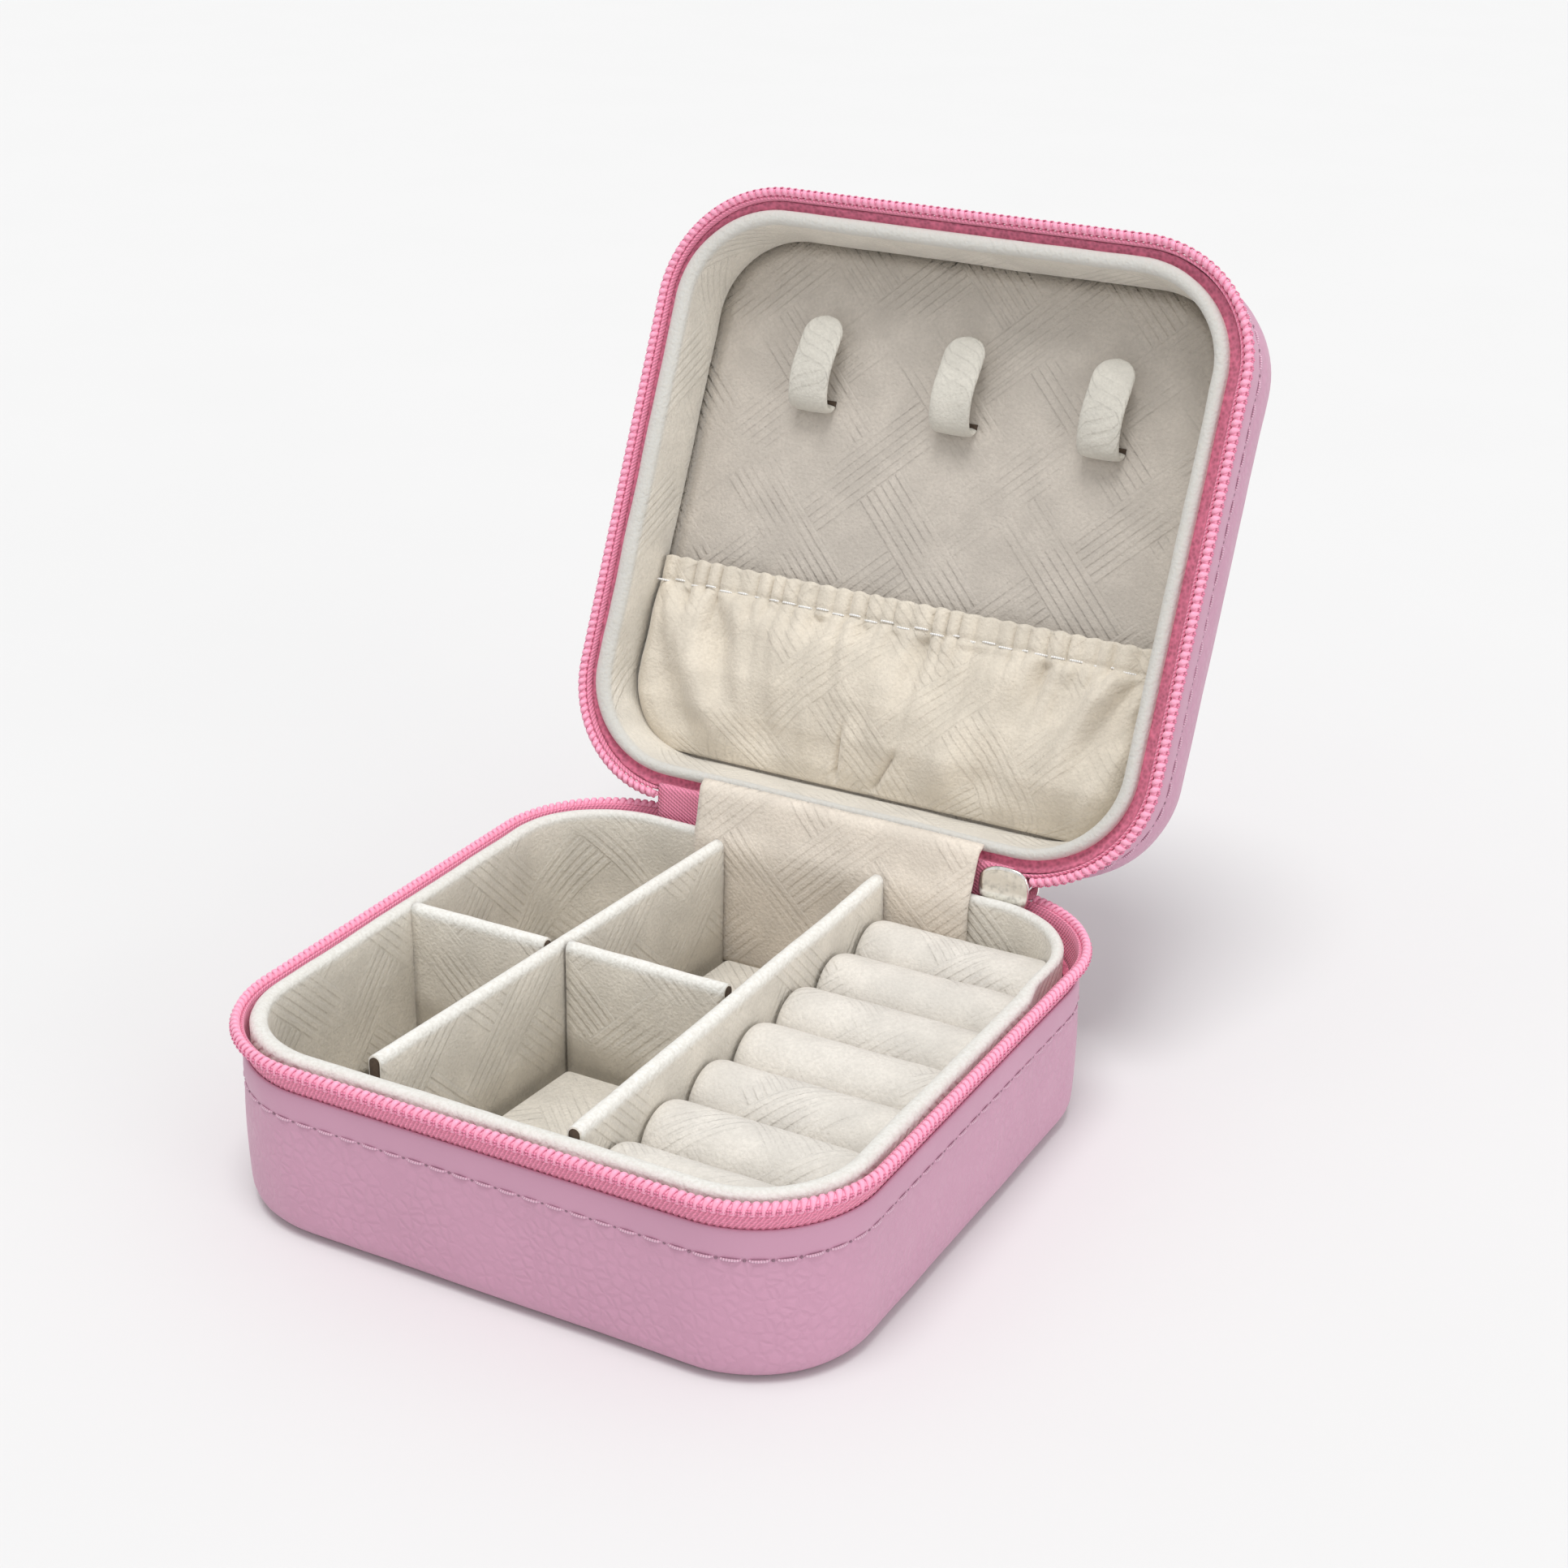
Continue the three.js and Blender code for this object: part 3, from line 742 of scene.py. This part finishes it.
def rim_profile(rim, foot, slope):
    """The section of a lining wall with a round rim. slope leans its inner face further in at the foot."""
    up = 1 if rim > foot else -1
    half = (LINING_IN - LINING_OUT) / 2
    middle = (LINING_IN + LINING_OUT) / 2
    line = [(LINING_OUT, foot)] + [(LINING_OUT, rim - up * drop) for drop in (8.0, 4.0, 2.0)]
    line += [(middle - half * math.cos(turn), rim - up * half * (1 - math.sin(turn)))
             for turn in np.linspace(0, math.pi, 10)]
    reach = abs(rim - foot)
    for share in np.linspace(0.12, 1, 14):
        line.append((LINING_IN + slope * share, rim - up * (half + (reach - half) * share)))
    return line


def lining_wall(name, rim, foot, slope, seed, lean, thicker, rim_highlight_level=1.0, inward=0.0):
    """lean moves the whole wall out, thicker its outer face only: each on the left, rear, right and front.
    inward is how far the rear wall's foot slopes in."""
    profile = rim_profile(rim, foot, slope)
    sides = ((-1, 0), (0, 1), (1, 0), (0, -1))

    def ripple(track, points, j):
        inset, height = profile[j]
        outer = min(1, max(0, (LINING_IN - inset) / (LINING_IN - LINING_OUT)))
        slider_room = np.clip((24 - track.core[:, 1]) / 5, 0, 1) if rim > foot else 1.0
        moved = sum((outer * more + whole) * track.towards(*side) * (slider_room if side == (1, 0) else 1)
                    for more, whole, side in zip(thicker, lean, sides))
        depth = min(1, max(0, (abs(height - rim) - 1) / (abs(foot - rim) - 1)))
        moved -= inward * depth * (1 - outer) * track.towards(0, 1)
        if outer < 0.98:
            moved += 0.16 * waver(11, seed, points) + 0.07 * waver(4, seed + 1, points)
        return moved

    start = abs(rim - foot) - 1.2
    # The velvet's rim band is a painted highlight, its lightness set by the level passed in
    cloth = velvet(name, GREY_VELVET, rim=(start, start + 3.2), rim_highlight_level=rim_highlight_level)
    return swept(name, Track(LINING_IN, 1.0), profile, cloth, ripple=ripple)


def rounded_plate(name, inset, low, high, material, edge=0.5):
    """A flat pad filling the outline, with soft edges. edge is negative if high is below low."""
    profile = [(16.0, low), (inset + edge * 0.3, low), (inset, low + edge * 0.3), (inset, high - edge)]
    for turn in np.linspace(0, math.pi / 2, 5)[1:]:
        profile.append((inset + edge * (1 - math.cos(turn)), high - edge * (1 - math.sin(turn))))
    profile += [(inset + 2.5, high), (16.0, high)]
    piece = swept(name, Track(inset, 1.6), profile, material, solid=False)
    flat_uv(piece)
    return piece


def flat_uv(piece):
    layer = piece.data.uv_layers[0]
    for loop in piece.data.loops:
        at = piece.data.vertices[loop.vertex_index].co
        layer.data[loop.index].uv = (at.x, at.y)


def floor_piece(name, near, far):
    """A loose velvet-covered card on the floor between the long dividers, the left one of which slants."""
    def left(y):
        return -14.6 - 5.5 * (42.3 - y) / 82.8

    right = 8.7
    soft = 0.9
    corners = [(left(near) + soft, near + soft), (right - soft, near + soft), (right - soft, far - soft),
               (left(far) + soft, far - soft)]
    ring = []
    for k, (x, y) in enumerate(corners):
        for turn in np.linspace(math.pi, 1.5 * math.pi, 5) + k * math.pi / 2:
            ring.append((x, y, math.cos(turn), math.sin(turn)))
    rows = [[(x + c * (soft - less), y + sn * (soft - less), FLOOR_TOP + height) for x, y, c, sn in ring]
            for less, height in ((0.1, 0.02), (0, 0.15), (0, 1.6), (0.12, 1.85), (0.4, 2.0))]
    piece = build(name, *closed_skin(rows, range(5), range(len(ring) + 1)), velvet(name, GREY_VELVET))
    flat_uv(piece)
    belongs(piece, "base", "velvet")


def make_gusset():
    """The pink cloth that closes the gap between the lid's lining and its zip, in a pink darkened as painted
    shade.
    """
    zip_edge, lining_edge = Track(TAPE_OUT, 1.2, 0.0, FLARE["lid"]), Track(TAPE_OUT, 1.2)
    outer = zip_edge.point(TAPE_OUT - 0.3, LID_ZERO + 0.9)
    inner = lining_edge.point(LINING_OUT + 0.5, LID_ZERO + 1.2)
    top = [outer * (1 - t) + inner * t + np.array([0, 0, 0.7 * math.sin(math.pi * t)])
           for t in np.linspace(0, 1, 6)]
    rows = np.stack(top + [line + np.array([0, 0, 0.4]) for line in top[::-1]], 1)
    far = [*zip_edge.far, zip_edge.end]
    piece = build("lid_gusset", *skin(rows, far, np.linspace(0, 6, 13), close_rows=True, close_across=True),
                  cloth_backing("gusset_cloth"))
    belongs(piece, "lid", "zip_tape")


def make_lining():
    # The base lining's rim highlight is painted at 0.95, and the lid's, painted darker, at 0.84
    wall = lining_wall("base_lining", LINING_TOP + 0.35, FLOOR_TOP - 1, 0.25, 11, (1.2, 0, 0.3, 0),
                       (0.6, 0, 0.9, 0.8), 0.95)
    belongs(wall, "base", "velvet", "base_lining_wall")
    floor = rounded_plate("floor_pad", PAD_IN, FLOOR_TOP - 1, FLOOR_TOP, velvet("floor_velvet", GREY_VELVET))
    belongs(floor, "base", "velvet", "base_floor_pad")
    for name, near, far in (("front", -TRAY_HALF + 1.4, -1.6), ("rear", 3.7, 41.0)):
        floor_piece("floor_piece_" + name, near, far)
    lid_wall = lining_wall("lid_lining", LID_ZERO, LID_ZERO + LID_PANEL + 2, 0.3, 15, (0.3, 0, 1.0, 0),
                           (1.0, 0.0, 0.3, 0.6), 0.84, 1.7)
    belongs(lid_wall, "lid", "velvet", "lid_lining_wall")
    make_gusset()
    panel = rounded_plate("lid_panel_pad", PAD_IN + 0.05, LID_ZERO + LID_PANEL + 2.1, LID_ZERO + LID_PANEL,
                          velvet("lid_panel_velvet", PANEL_VELVET), edge=-0.6)
    belongs(panel, "lid", "velvet", "lid_panel")


# ---- dividers ----

DIVIDER_HALF = 1.1


def divider(name, start, finish, top, seed):
    """A card wall covered in velvet, with its raw ends showing."""
    start, finish = Vector(start), Vector(finish)
    way = (finish - start).normalized()
    side = Vector((-way.y, way.x))
    long = (finish - start).length
    half = DIVIDER_HALF
    low = FLOOR_TOP + 0.3

    def section(half, top, low):
        wall = [(half, low + (top - low) * share) for share in (0, 0.35, 0.7)]
        crown = [(half * math.cos(turn), top - half + half * math.sin(turn))
                 for turn in np.linspace(0, math.pi, 9)]
        return wall + crown + [(-half, height) for _, height in wall[::-1]]

    def loft(half, top, low, begin, end, moves):
        shape = section(half, top, low)
        stations = np.linspace(begin, end, max(4, round((end - begin) / 1.2)) + 1)
        middles = [start + way * far for far in stations]
        rows = np.array([[(middle.x + side.x * off, middle.y + side.y * off, height) for off, height in shape]
                         for middle in middles])
        if moves:
            flat = rows.reshape(-1, 3)
            push = (0.13 * waver(9, seed, flat) + 0.05 * waver(3, seed + 2, flat)).reshape(rows.shape[:2])
            edge = np.clip((rows[:, :, 2] - low) / 4, 0, 1)
            rows[:, :, 0] += side.x * push * edge
            rows[:, :, 1] += side.y * push * edge
            rows[:, :, 2] += 0.6 * push * (edge > 0.99)
        return closed_skin(rows, stations + seed * 7, lengths(shape, closed=True))

    rim = top - half - low
    # A painted highlight lightens the velvet over the divider's round top
    sleeve = build(name + "_velvet", *loft(half, top, low, 0, long, True),
                   velvet(name, GREY_VELVET, rim=(rim - 0.2, rim + half * math.pi + 0.2)))
    belongs(sleeve, "base", "velvet", name + "_sleeve")
    card = build(name + "_raw_card", *loft(half - 0.28, top - 0.3, low + 0.1, -0.16, long + 0.2, False),
                 raw_card(name + "_card"))
    belongs(card, "base", "card", name + "_card")


def make_dividers():
    lo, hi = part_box("divider_long_left_sleeve")
    rear = (hi.x / MM - DIVIDER_HALF, hi.y / MM - 0.07)
    front = (lo.x / MM + DIVIDER_HALF, lo.y / MM + 0.07)
    divider("divider_long_left", rear, front, hi.z / MM, 1)
    for name, seed in (("divider_long_right", 2), ("divider_short_left", 3), ("divider_short_middle", 4)):
        lo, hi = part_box(name + "_sleeve")
        x0, x1, y0, y1 = lo.x / MM, hi.x / MM, lo.y / MM, hi.y / MM
        if name == "divider_long_right":
            divider(name, ((x0 + x1) / 2, y0), ((x0 + x1) / 2, y1), hi.z / MM, seed)
        else:
            x0 -= 1.4 if name == "divider_short_left" else 0
            divider(name, (x0, (y0 + y1) / 2), (x1, (y0 + y1) / 2), hi.z / MM, seed)


# ---- ring rolls ----

def ring_roll(number):
    """A foam roll covered tightly in velvet: a round top, upright sides and a soft, closed left end."""
    name = f"ring_roll_{number}"
    lo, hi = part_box(f"ring_roll_cover_{number}")
    y0, y1, low, top = lo.y / MM, hi.y / MM, lo.z / MM, hi.z / MM
    x0, x1 = lo.x / MM, TRAY_HALF - 0.1
    middle, radius = (y0 + y1) / 2, (y1 - y0) / 2
    end = 2.2
    turns = np.linspace(0, math.pi / 2, 8)
    body = x1 - x0 - end
    far = np.concatenate([x0 + end * (1 - np.cos(turns)), x0 + end + body * np.linspace(0.04, 1, 16)])
    sizes = np.concatenate([1 - 0.16 * (1 - np.sin(turns)), np.ones(16)])
    bulge = low + (top - radius - low) * 0.3
    rows = []
    for x, r in zip(far, radius * sizes):
        row = [(x, middle + r * math.cos(turn), top - radius + r * math.sin(turn))
               for turn in np.linspace(0, math.pi, 23)]
        rows.append(row + [(x, middle + r * share, height) for share, height in
                           ((-1, bulge), (-0.9, low), (0.9, low), (1, bulge))])
    rows = np.array(rows)
    rows[:, :, 0] = np.minimum(rows[:, :, 0], wall_reach(rows[:, :, 1]) - 0.1)
    flat = rows.reshape(-1, 3)
    soft = (0.16 * waver(7, number, flat) + 0.06 * waver(2.6, number + 9, flat)).reshape(rows.shape[:2])
    above = np.clip((rows[:, :, 2] - low) / 5, 0, 1)
    rows[:, :, 2] += soft * above
    shape = rows[-1][:, 1:]
    piece = build(name, *closed_skin(rows, far + number * 11.0, lengths(shape, closed=True)),
                  velvet(name, ROLL_VELVET))
    belongs(piece, "base", "roll_velvet", f"ring_roll_cover_{number}", f"ring_roll_foam_{number}")


def wall_reach(y):
    """How far out in x the tray reaches at y."""
    r = CORNER - PAD_IN
    past = np.clip(np.abs(y) - CORE, 0, r * 0.999)
    return CORE + np.sqrt(r * r - past * past)


def make_rolls():
    for number in range(1, 8):
        ring_roll(number)


# ---- hooks ----

HOOK_LINE = [(-17.9, 0.35), (-17.4, 0.75), (-17.0, 1.5), (-17.3, 3.1), (-19.2, 4.2), (-23, 4.6), (-28, 3.7),
             (-32.1, 2.3)]
HOOK_THICK = 0.52


def hook(side):
    """A velvet strap folded up off the panel, free at its round tip."""
    name = f"hook_{side}"
    lo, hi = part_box(name)
    middle, width = (lo.x + hi.x) / 2 / MM, (hi.x - lo.x) / MM
    line = smooth_line([(y, LID_ZERO + LID_PANEL - off) for y, off in HOOK_LINE], 46)
    far = lengths(line)
    rows = []
    for (y, z), (dy, dz), gone in zip(line, headings(line), far):
        left = far[-1] - gone
        reach = width / 2
        half = reach * math.sqrt(max(0.004, 1 - max(0, 1 - left / reach) ** 2)) if left < reach else reach
        bow = 0.16 * math.sin(gone * 0.55)
        fade = min(1, 0.35 + left / 1.4)
        row = []
        for k in range(20):
            turn = k / 20 * 2 * math.pi
            across = math.copysign(abs(math.cos(turn)) ** 0.45, math.cos(turn)) * half
            over = math.copysign(abs(math.sin(turn)) ** 0.7, math.sin(turn)) * HOOK_THICK * fade
            over += bow * (across / reach) ** 2
            row.append((middle + across, y + dz * over, z - dy * over))
        rows.append(row)
    piece = build(name + "_strap", *closed_skin(rows, far, np.linspace(0, 2 * width, 21)),
                  velvet(name, HOOK_VELVET, 0.7))
    belongs(piece, "lid", "velvet", name)
    # A small wedge in raw card colour inside the strap's fold: painted shade for the fold's dark interior
    wedge = [(-18.9, 0.1, 0.2), (-18.6, 0.1, 0.6), (-18.2, 0.1, 0.75), (-18.0, 0.1, 0.4)]
    left, right = middle - width / 2 + 0.3, middle + width / 2 - 0.05
    rows = [[(x, y, LID_ZERO + LID_PANEL - off) for x, off in
             ((left, low), (right, low), (right, high), (left, high))] for y, low, high in wedge]
    edge = build(name + "_fold_shade_wedge", *closed_skin(rows, [0, 1, 2, 2.6], [0, 7, 7.8, 14.8, 15.6]),
                 raw_card(name + "_card"), smooth=False)
    belongs(edge, "lid", "card")


def make_hooks():
    for side in ("left", "middle", "right"):
        hook(side)


# ---- pocket ----

POCKET_EDGE = 10.7
HEM = 4.0
POCKET_END = 41.9
POCKET_RISE = [(POCKET_EDGE, 2.7), (POCKET_EDGE + HEM, 2.9), (20, 4.3), (28, 5.0), (34, 4.3), (39, 2.4),
               (POCKET_END, 0.8)]
PUCKER = 2.9


def between(value, low, high):
    """0 below low, 1 above high, and smooth between."""
    t = max(0.0, min(1.0, (value - low) / (high - low)))
    return t * t * (3 - 2 * t)


def pocket_height(x, y):
    """How far the gathered cloth stands off the lid's panel."""
    ys, rises = zip(*POCKET_RISE)
    rise = float(np.interp(y, ys, rises))
    down = y - POCKET_EDGE
    wander = 2.0 * noise.noise(Vector((x / 8, 0.3, 4.0)))
    phase = 2 * math.pi * (x + wander) / PUCKER
    strength = 0.6 + 0.6 * noise.noise(Vector((x / 5, 8.1, 2.0)))
    below = max(0.0, down - HEM)
    ruffle = 1.5 * strength * (abs(math.sin(phase / 2)) - 0.6) * (between(down, -0.3, 1.2) * 0.55 + 0.45)
    ruffle *= math.exp(-below / 4.5)
    seam = math.exp(-((down - HEM) / 0.5) ** 2)
    open_cloth = between(below, 0, 5) * between(POCKET_END - y, 0, 8)
    spread = x * (1 + 0.012 * below) + 0.9 * noise.noise(Vector((x / 12, y / 9, 3.3)))
    gathers = noise.noise(Vector((spread / 3.1, below / 30, 7.7))) * math.exp(-below / 8)
    folds = noise.noise(Vector((spread / 7, y / 24, 5.1)))
    broad = noise.noise(Vector((spread / 15, y / 15, 1.9)))
    sag = between(below, 0.3, 2) * 3.2 * gathers + open_cloth * (3.0 * folds + 2.6 * broad)
    left = POCKET_END - y
    tuck = 1.3 * math.exp(-((x - 3.6 + 0.55 * (y - 37)) / 0.75) ** 2)
    tuck *= between(y, 33.5, 36) * between(left, 0, 2)
    crease = 1.2 * math.exp(-((x + 4.6 + 0.1 * (y - 34)) / 0.65) ** 2)
    crease *= between(y, 29, 35) * between(left, 0, 3)
    return rise + ruffle - 0.4 * seam + sag - tuck - crease


def half_width(y):
    return float(wall_reach(np.array(y))) - 0.15


def make_pocket():
    across, down = 300, 70
    ys = POCKET_EDGE + (POCKET_END - POCKET_EDGE) * np.linspace(0, 1, down)
    rows = []
    for share in np.linspace(-1, 1, across):
        row = []
        for y in ys:
            x = share * half_width(y)
            end = max(0.0, 1 - (half_width(y) - abs(x)) / 2.5)
            lip = 0.12 * math.sin(2 * math.pi * x / PUCKER + 1.0) * max(0.0, 1 - (y - POCKET_EDGE) / 2)
            off = pocket_height(x, y) * (1 - 0.55 * end * end)
            row.append((x, y + lip, LID_ZERO + LID_PANEL - max(0.7, off)))
        rows.append(row)
    rows = np.array(rows)
    piece = build("pocket_cloth", *skin(rows, lengths(rows[:, 30]), lengths(rows[150])),
                  velvet("pocket_velvet", CREAM_VELVET, 0.7, 0.4))
    thicken(piece, 0.6)
    belongs(piece, "lid", "pocket_velvet", "pocket", "pocket_elastic")

    places, aheads = [], []
    for x in np.arange(-42.6, 42.7, 2.95):
        y = POCKET_EDGE + HEM + 0.25 * math.sin(x)
        places.append((x, y, LID_ZERO + LID_PANEL - pocket_height(x, y) - 0.34))
        nearby = [pocket_height(x + step, y) for step in (-0.8, 0.8)]
        aheads.append(tuple(Vector((1.6, 0, nearby[0] - nearby[1])).normalized()))
    outs = np.array([(a[2], 0, -a[0]) for a in aheads])
    threads = stitch_parts(np.array(places), np.array(aheads), outs, 2.3, 0.17)
    threads = gather("pocket_stitch_threads", threads, sewing_thread("pocket_thread", POCKET_THREAD))
    belongs(threads, "lid", "pocket_velvet")


def thicken(piece, depth):
    """Gives an open sheet its thickness, half on each side."""
    modifier = piece.modifiers.new("thickness", "SOLIDIFY")
    modifier.thickness = depth * MM
    modifier.offset = 0
    graph = bpy.context.evaluated_depsgraph_get()
    solid = bpy.data.meshes.new_from_object(piece.evaluated_get(graph))
    piece.modifiers.clear()
    piece.data = solid


# ---- hinge ----

def strip(name, line, width, thick, material, flare=0.0, seed=21, steps=40, shift=0.0):
    """A flat strip laid along a line of (y, z) points, widening by flare towards its lid end."""
    path = smooth_line(line, steps)
    across = 49
    rows = []
    far = lengths(path)
    for (y, z), (dy, dz), gone in zip(path, headings(path), far):
        row = []
        wide = width / 2 + flare * (gone / far[-1]) ** 6
        for side in (1, -1):
            for share in np.linspace(-1, 1, across) * side:
                x = wide * share + shift
                edge = 1 - 0.35 * max(0, abs(share) * 12 - 11) ** 2
                lift = side * thick / 2 * edge
                lift += 0.14 * noise.noise(Vector((x / 7, gone / 6, seed))) * min(1, gone / 8)
                row.append((x, y - dz * lift, z + dy * lift))
        rows.append(row)
    vs = list(np.linspace(-1, 1, across) * width / 2)
    vs = vs + [width / 2 + 0.4 + width / 2 - v for v in vs[::-1]] + [width * 1.5 + 1]
    return build(name, *closed_skin(rows, far, vs), material)


def make_hinge():
    inside = HALF - PAD_IN - 0.45
    lining = [(inside, FLOOR_TOP + 0.5), (inside, 12), (inside, 20), (inside + 0.05, 26), (inside + 1.2, 29.6),
              lid_point(46.6, -1.9), lid_point(45.8, -1.6), lid_point(45.0, -1.0)]
    cloth = velvet("hinge_velvet", STRIP_VELVET, 0.7)
    piece = strip("hinge_lining_strip", lining, HINGE_WIDTH, 0.8, cloth, 0.5, shift=1.9)
    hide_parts("hinge_lining")
    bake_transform(piece)

    tape_y = HALF - TAPE_OUT - 0.2
    tape = [(tape_y, 18), (tape_y, 24), (tape_y, 30), (tape_y + 0.3, 31.9), lid_point(tape_y, 1.3),
            lid_point(tape_y, 3.5), lid_point(tape_y, 4.6)]
    piece = strip("hinge_tape_strip", tape, 2 * TAPE_GAP, 0.35, woven_tape("hinge_twill"), 0, 25, 36)
    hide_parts("hinge_tape")
    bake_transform(piece)

    outside = HALF - LEATHER_OUT + 0.5
    cover = [(outside, 14), (outside, 20), (outside, 26), (outside, 28.4), (outside + 0.65, 29.5),
             lid_point(outside, 4.4), lid_point(outside, 8), lid_point(outside, 12)]
    piece = strip("hinge_leather_strip", cover, HINGE_WIDTH, 0.7, leather("hinge_leather_skin"), 0, 29, 48)
    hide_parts("hinge_leather")
    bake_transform(piece)


# ---- slider ----

OUTER_PLATE = 50.25
PLATE_REACH = 4.1
PLATE_HALF = 3.6
BAIL_Z = 26.2


def finished(node, material):
    """A CAD part that stays gets a finish of its own."""
    part = frame["nodes"][node]
    part.data.materials.clear()
    part.data.materials.append(material)
    return part


def bevelled(node, width, material):
    modifier = finished(node, material).modifiers.new("edges", "BEVEL")
    modifier.width = width * MM
    modifier.segments = 2
    modifier.limit_method = "ANGLE"
    modifier.angle_limit = math.radians(35)


def shield(half_long, half_high, top=None, count=48):
    """A slider plate's outline about its middle: six soft sides, a little narrower to the left."""
    points = []
    for k in range(count):
        turn = k / count * 2 * math.pi
        c, sn = math.cos(turn), math.sin(turn)
        reach = (abs(c / half_long) ** 3.2 + abs(sn / half_high) ** 3.2) ** (-1 / 3.2)
        x, z = reach * c, reach * sn
        z *= 1 - 0.12 * between(-x, 0, half_long)
        points.append((x, z if top is None else min(z, top)))
    return np.array(points)


def plate(outline, middle, y0, y1):
    """A plate with soft edges between two values of y."""
    bevel = 0.16
    inner = 1 - 1.1 * bevel / PLATE_HALF
    rings = [[(middle[0] + x * share, y, middle[1] + z * share) for x, z in outline] for y, share in
             ((y0, 0.3), (y0, 0.8), (y0, inner), (y0 + bevel, 1), (y1 - bevel, 1), (y1, inner), (y1, 0.3))]
    return closed_skin(rings, range(7), np.linspace(0, 24, len(outline) + 1))


def make_slider():
    nickel = polished_metal("nickel")
    lo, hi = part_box("slider_body")
    middle = ((lo.x + hi.x) / 2 / MM, (lo.z + hi.z) / 2 / MM)
    inner, outer = lo.y / MM, OUTER_PLATE
    parts = [plate(shield(PLATE_REACH, PLATE_HALF), middle, inner, inner + 0.55),
             plate(shield(PLATE_REACH, PLATE_HALF, top=0.9), middle, outer, outer + 0.5)]
    nose = middle[0] + 2.55
    bridge = [[(nose + x, y, middle[1] + z) for x, z in shield(1.05, 0.45, count=16)]
              for y in np.linspace(inner + 0.3, outer + 0.2, 6)]
    parts.append(closed_skin(bridge, range(6), np.linspace(0, 5, 17)))
    arch = smooth_line([(middle[0] + x, outer + y, BAIL_Z) for x, y in
                        ((-1.6, 0.3), (-1.6, 1.4), (-1.15, 2.05), (1.15, 2.05), (1.6, 1.4), (1.6, 0.3))], 30)
    rows = tube(arch, np.broadcast_to(np.array([0, 0, 1.0]), arch.shape), 0.25, 0.25, 8)
    parts.append(closed_skin(rows, lengths(arch), np.linspace(0, 1.6, 9)))
    piece = gather("slider_plates", parts, nickel)
    belongs(piece, "slider", "metal", "slider_body")
    bevelled("pull_link", 0.12, nickel)
    bevelled("pull_tab", 0.22, nickel)


def finish_hidden_parts():
    # The shell walls get the backing pink, darkened as painted shade for the gaps
    board, backing = raw_card("core_board"), cloth_backing("pink_backing")
    for node, material in (("base_shell_wall", backing), ("base_floor_board", board),
                           ("lid_shell_wall", backing), ("lid_board", board)):
        finished(node, material)


# ---- stage ----

CAMERA_AT = (0.174594, -0.292987, 0.208151)
CAMERA_TURN = (28.241, 23.866, 0.995)  # azimuth, elevation and roll, in degrees
LENS = 61.89


def make_camera():
    azimuth, elevation, roll = map(math.radians, CAMERA_TURN)
    turn = (Matrix.Rotation(azimuth, 4, "Z") @ Matrix.Rotation(math.pi / 2 - elevation, 4, "X")
            @ Matrix.Rotation(roll, 4, "Z"))
    camera = added("camera", bpy.data.cameras.new("camera"))
    camera.matrix_world = Matrix.Translation(CAMERA_AT) @ turn
    camera.data.lens = LENS
    camera.data.sensor_width = 36
    camera.data.clip_start = 0.01
    bpy.context.scene.camera = camera


def soft_sun(name, towards, spread, strength):
    """A light as wide as a studio softbox, the same all over the floor."""
    lamp = bpy.data.lights.new(name, "SUN")
    lamp.energy = strength
    lamp.angle = math.radians(spread)
    added(name, lamp).rotation_euler = (-Vector(towards)).to_track_quat("-Z", "Y").to_euler()


def make_stage():
    world = bpy.data.worlds.new("studio")
    bpy.context.scene.world = world
    world.use_nodes = True
    sky = world.node_tree.nodes["Background"].inputs
    sky[0].default_value = (1, 1, 1, 1)
    sky[1].default_value = 0.72
    soft_sun("key", (0.05, -0.22, 1.0), 26, 1.6)
    soft_sun("side", (1.0, -0.3, 0.05), 50, 1.15)
    size = 4.0
    corners = [(-size, -size, 0), (size, -size, 0), (size, size, 0), (-size, size, 0)]
    mesh = bpy.data.meshes.new("floor")
    mesh.from_pydata(corners, [], [(0, 1, 2, 3)])
    mesh.materials.append(floor_paint("floor_paint"))
    floor = added("floor", mesh)
    bpy.context.scene.view_settings.view_transform = "Standard"


make_leather()
make_zip()
make_lining()
make_dividers()
make_rolls()
make_hooks()
make_pocket()
make_hinge()
make_slider()
finish_hidden_parts()
make_camera()
make_stage()
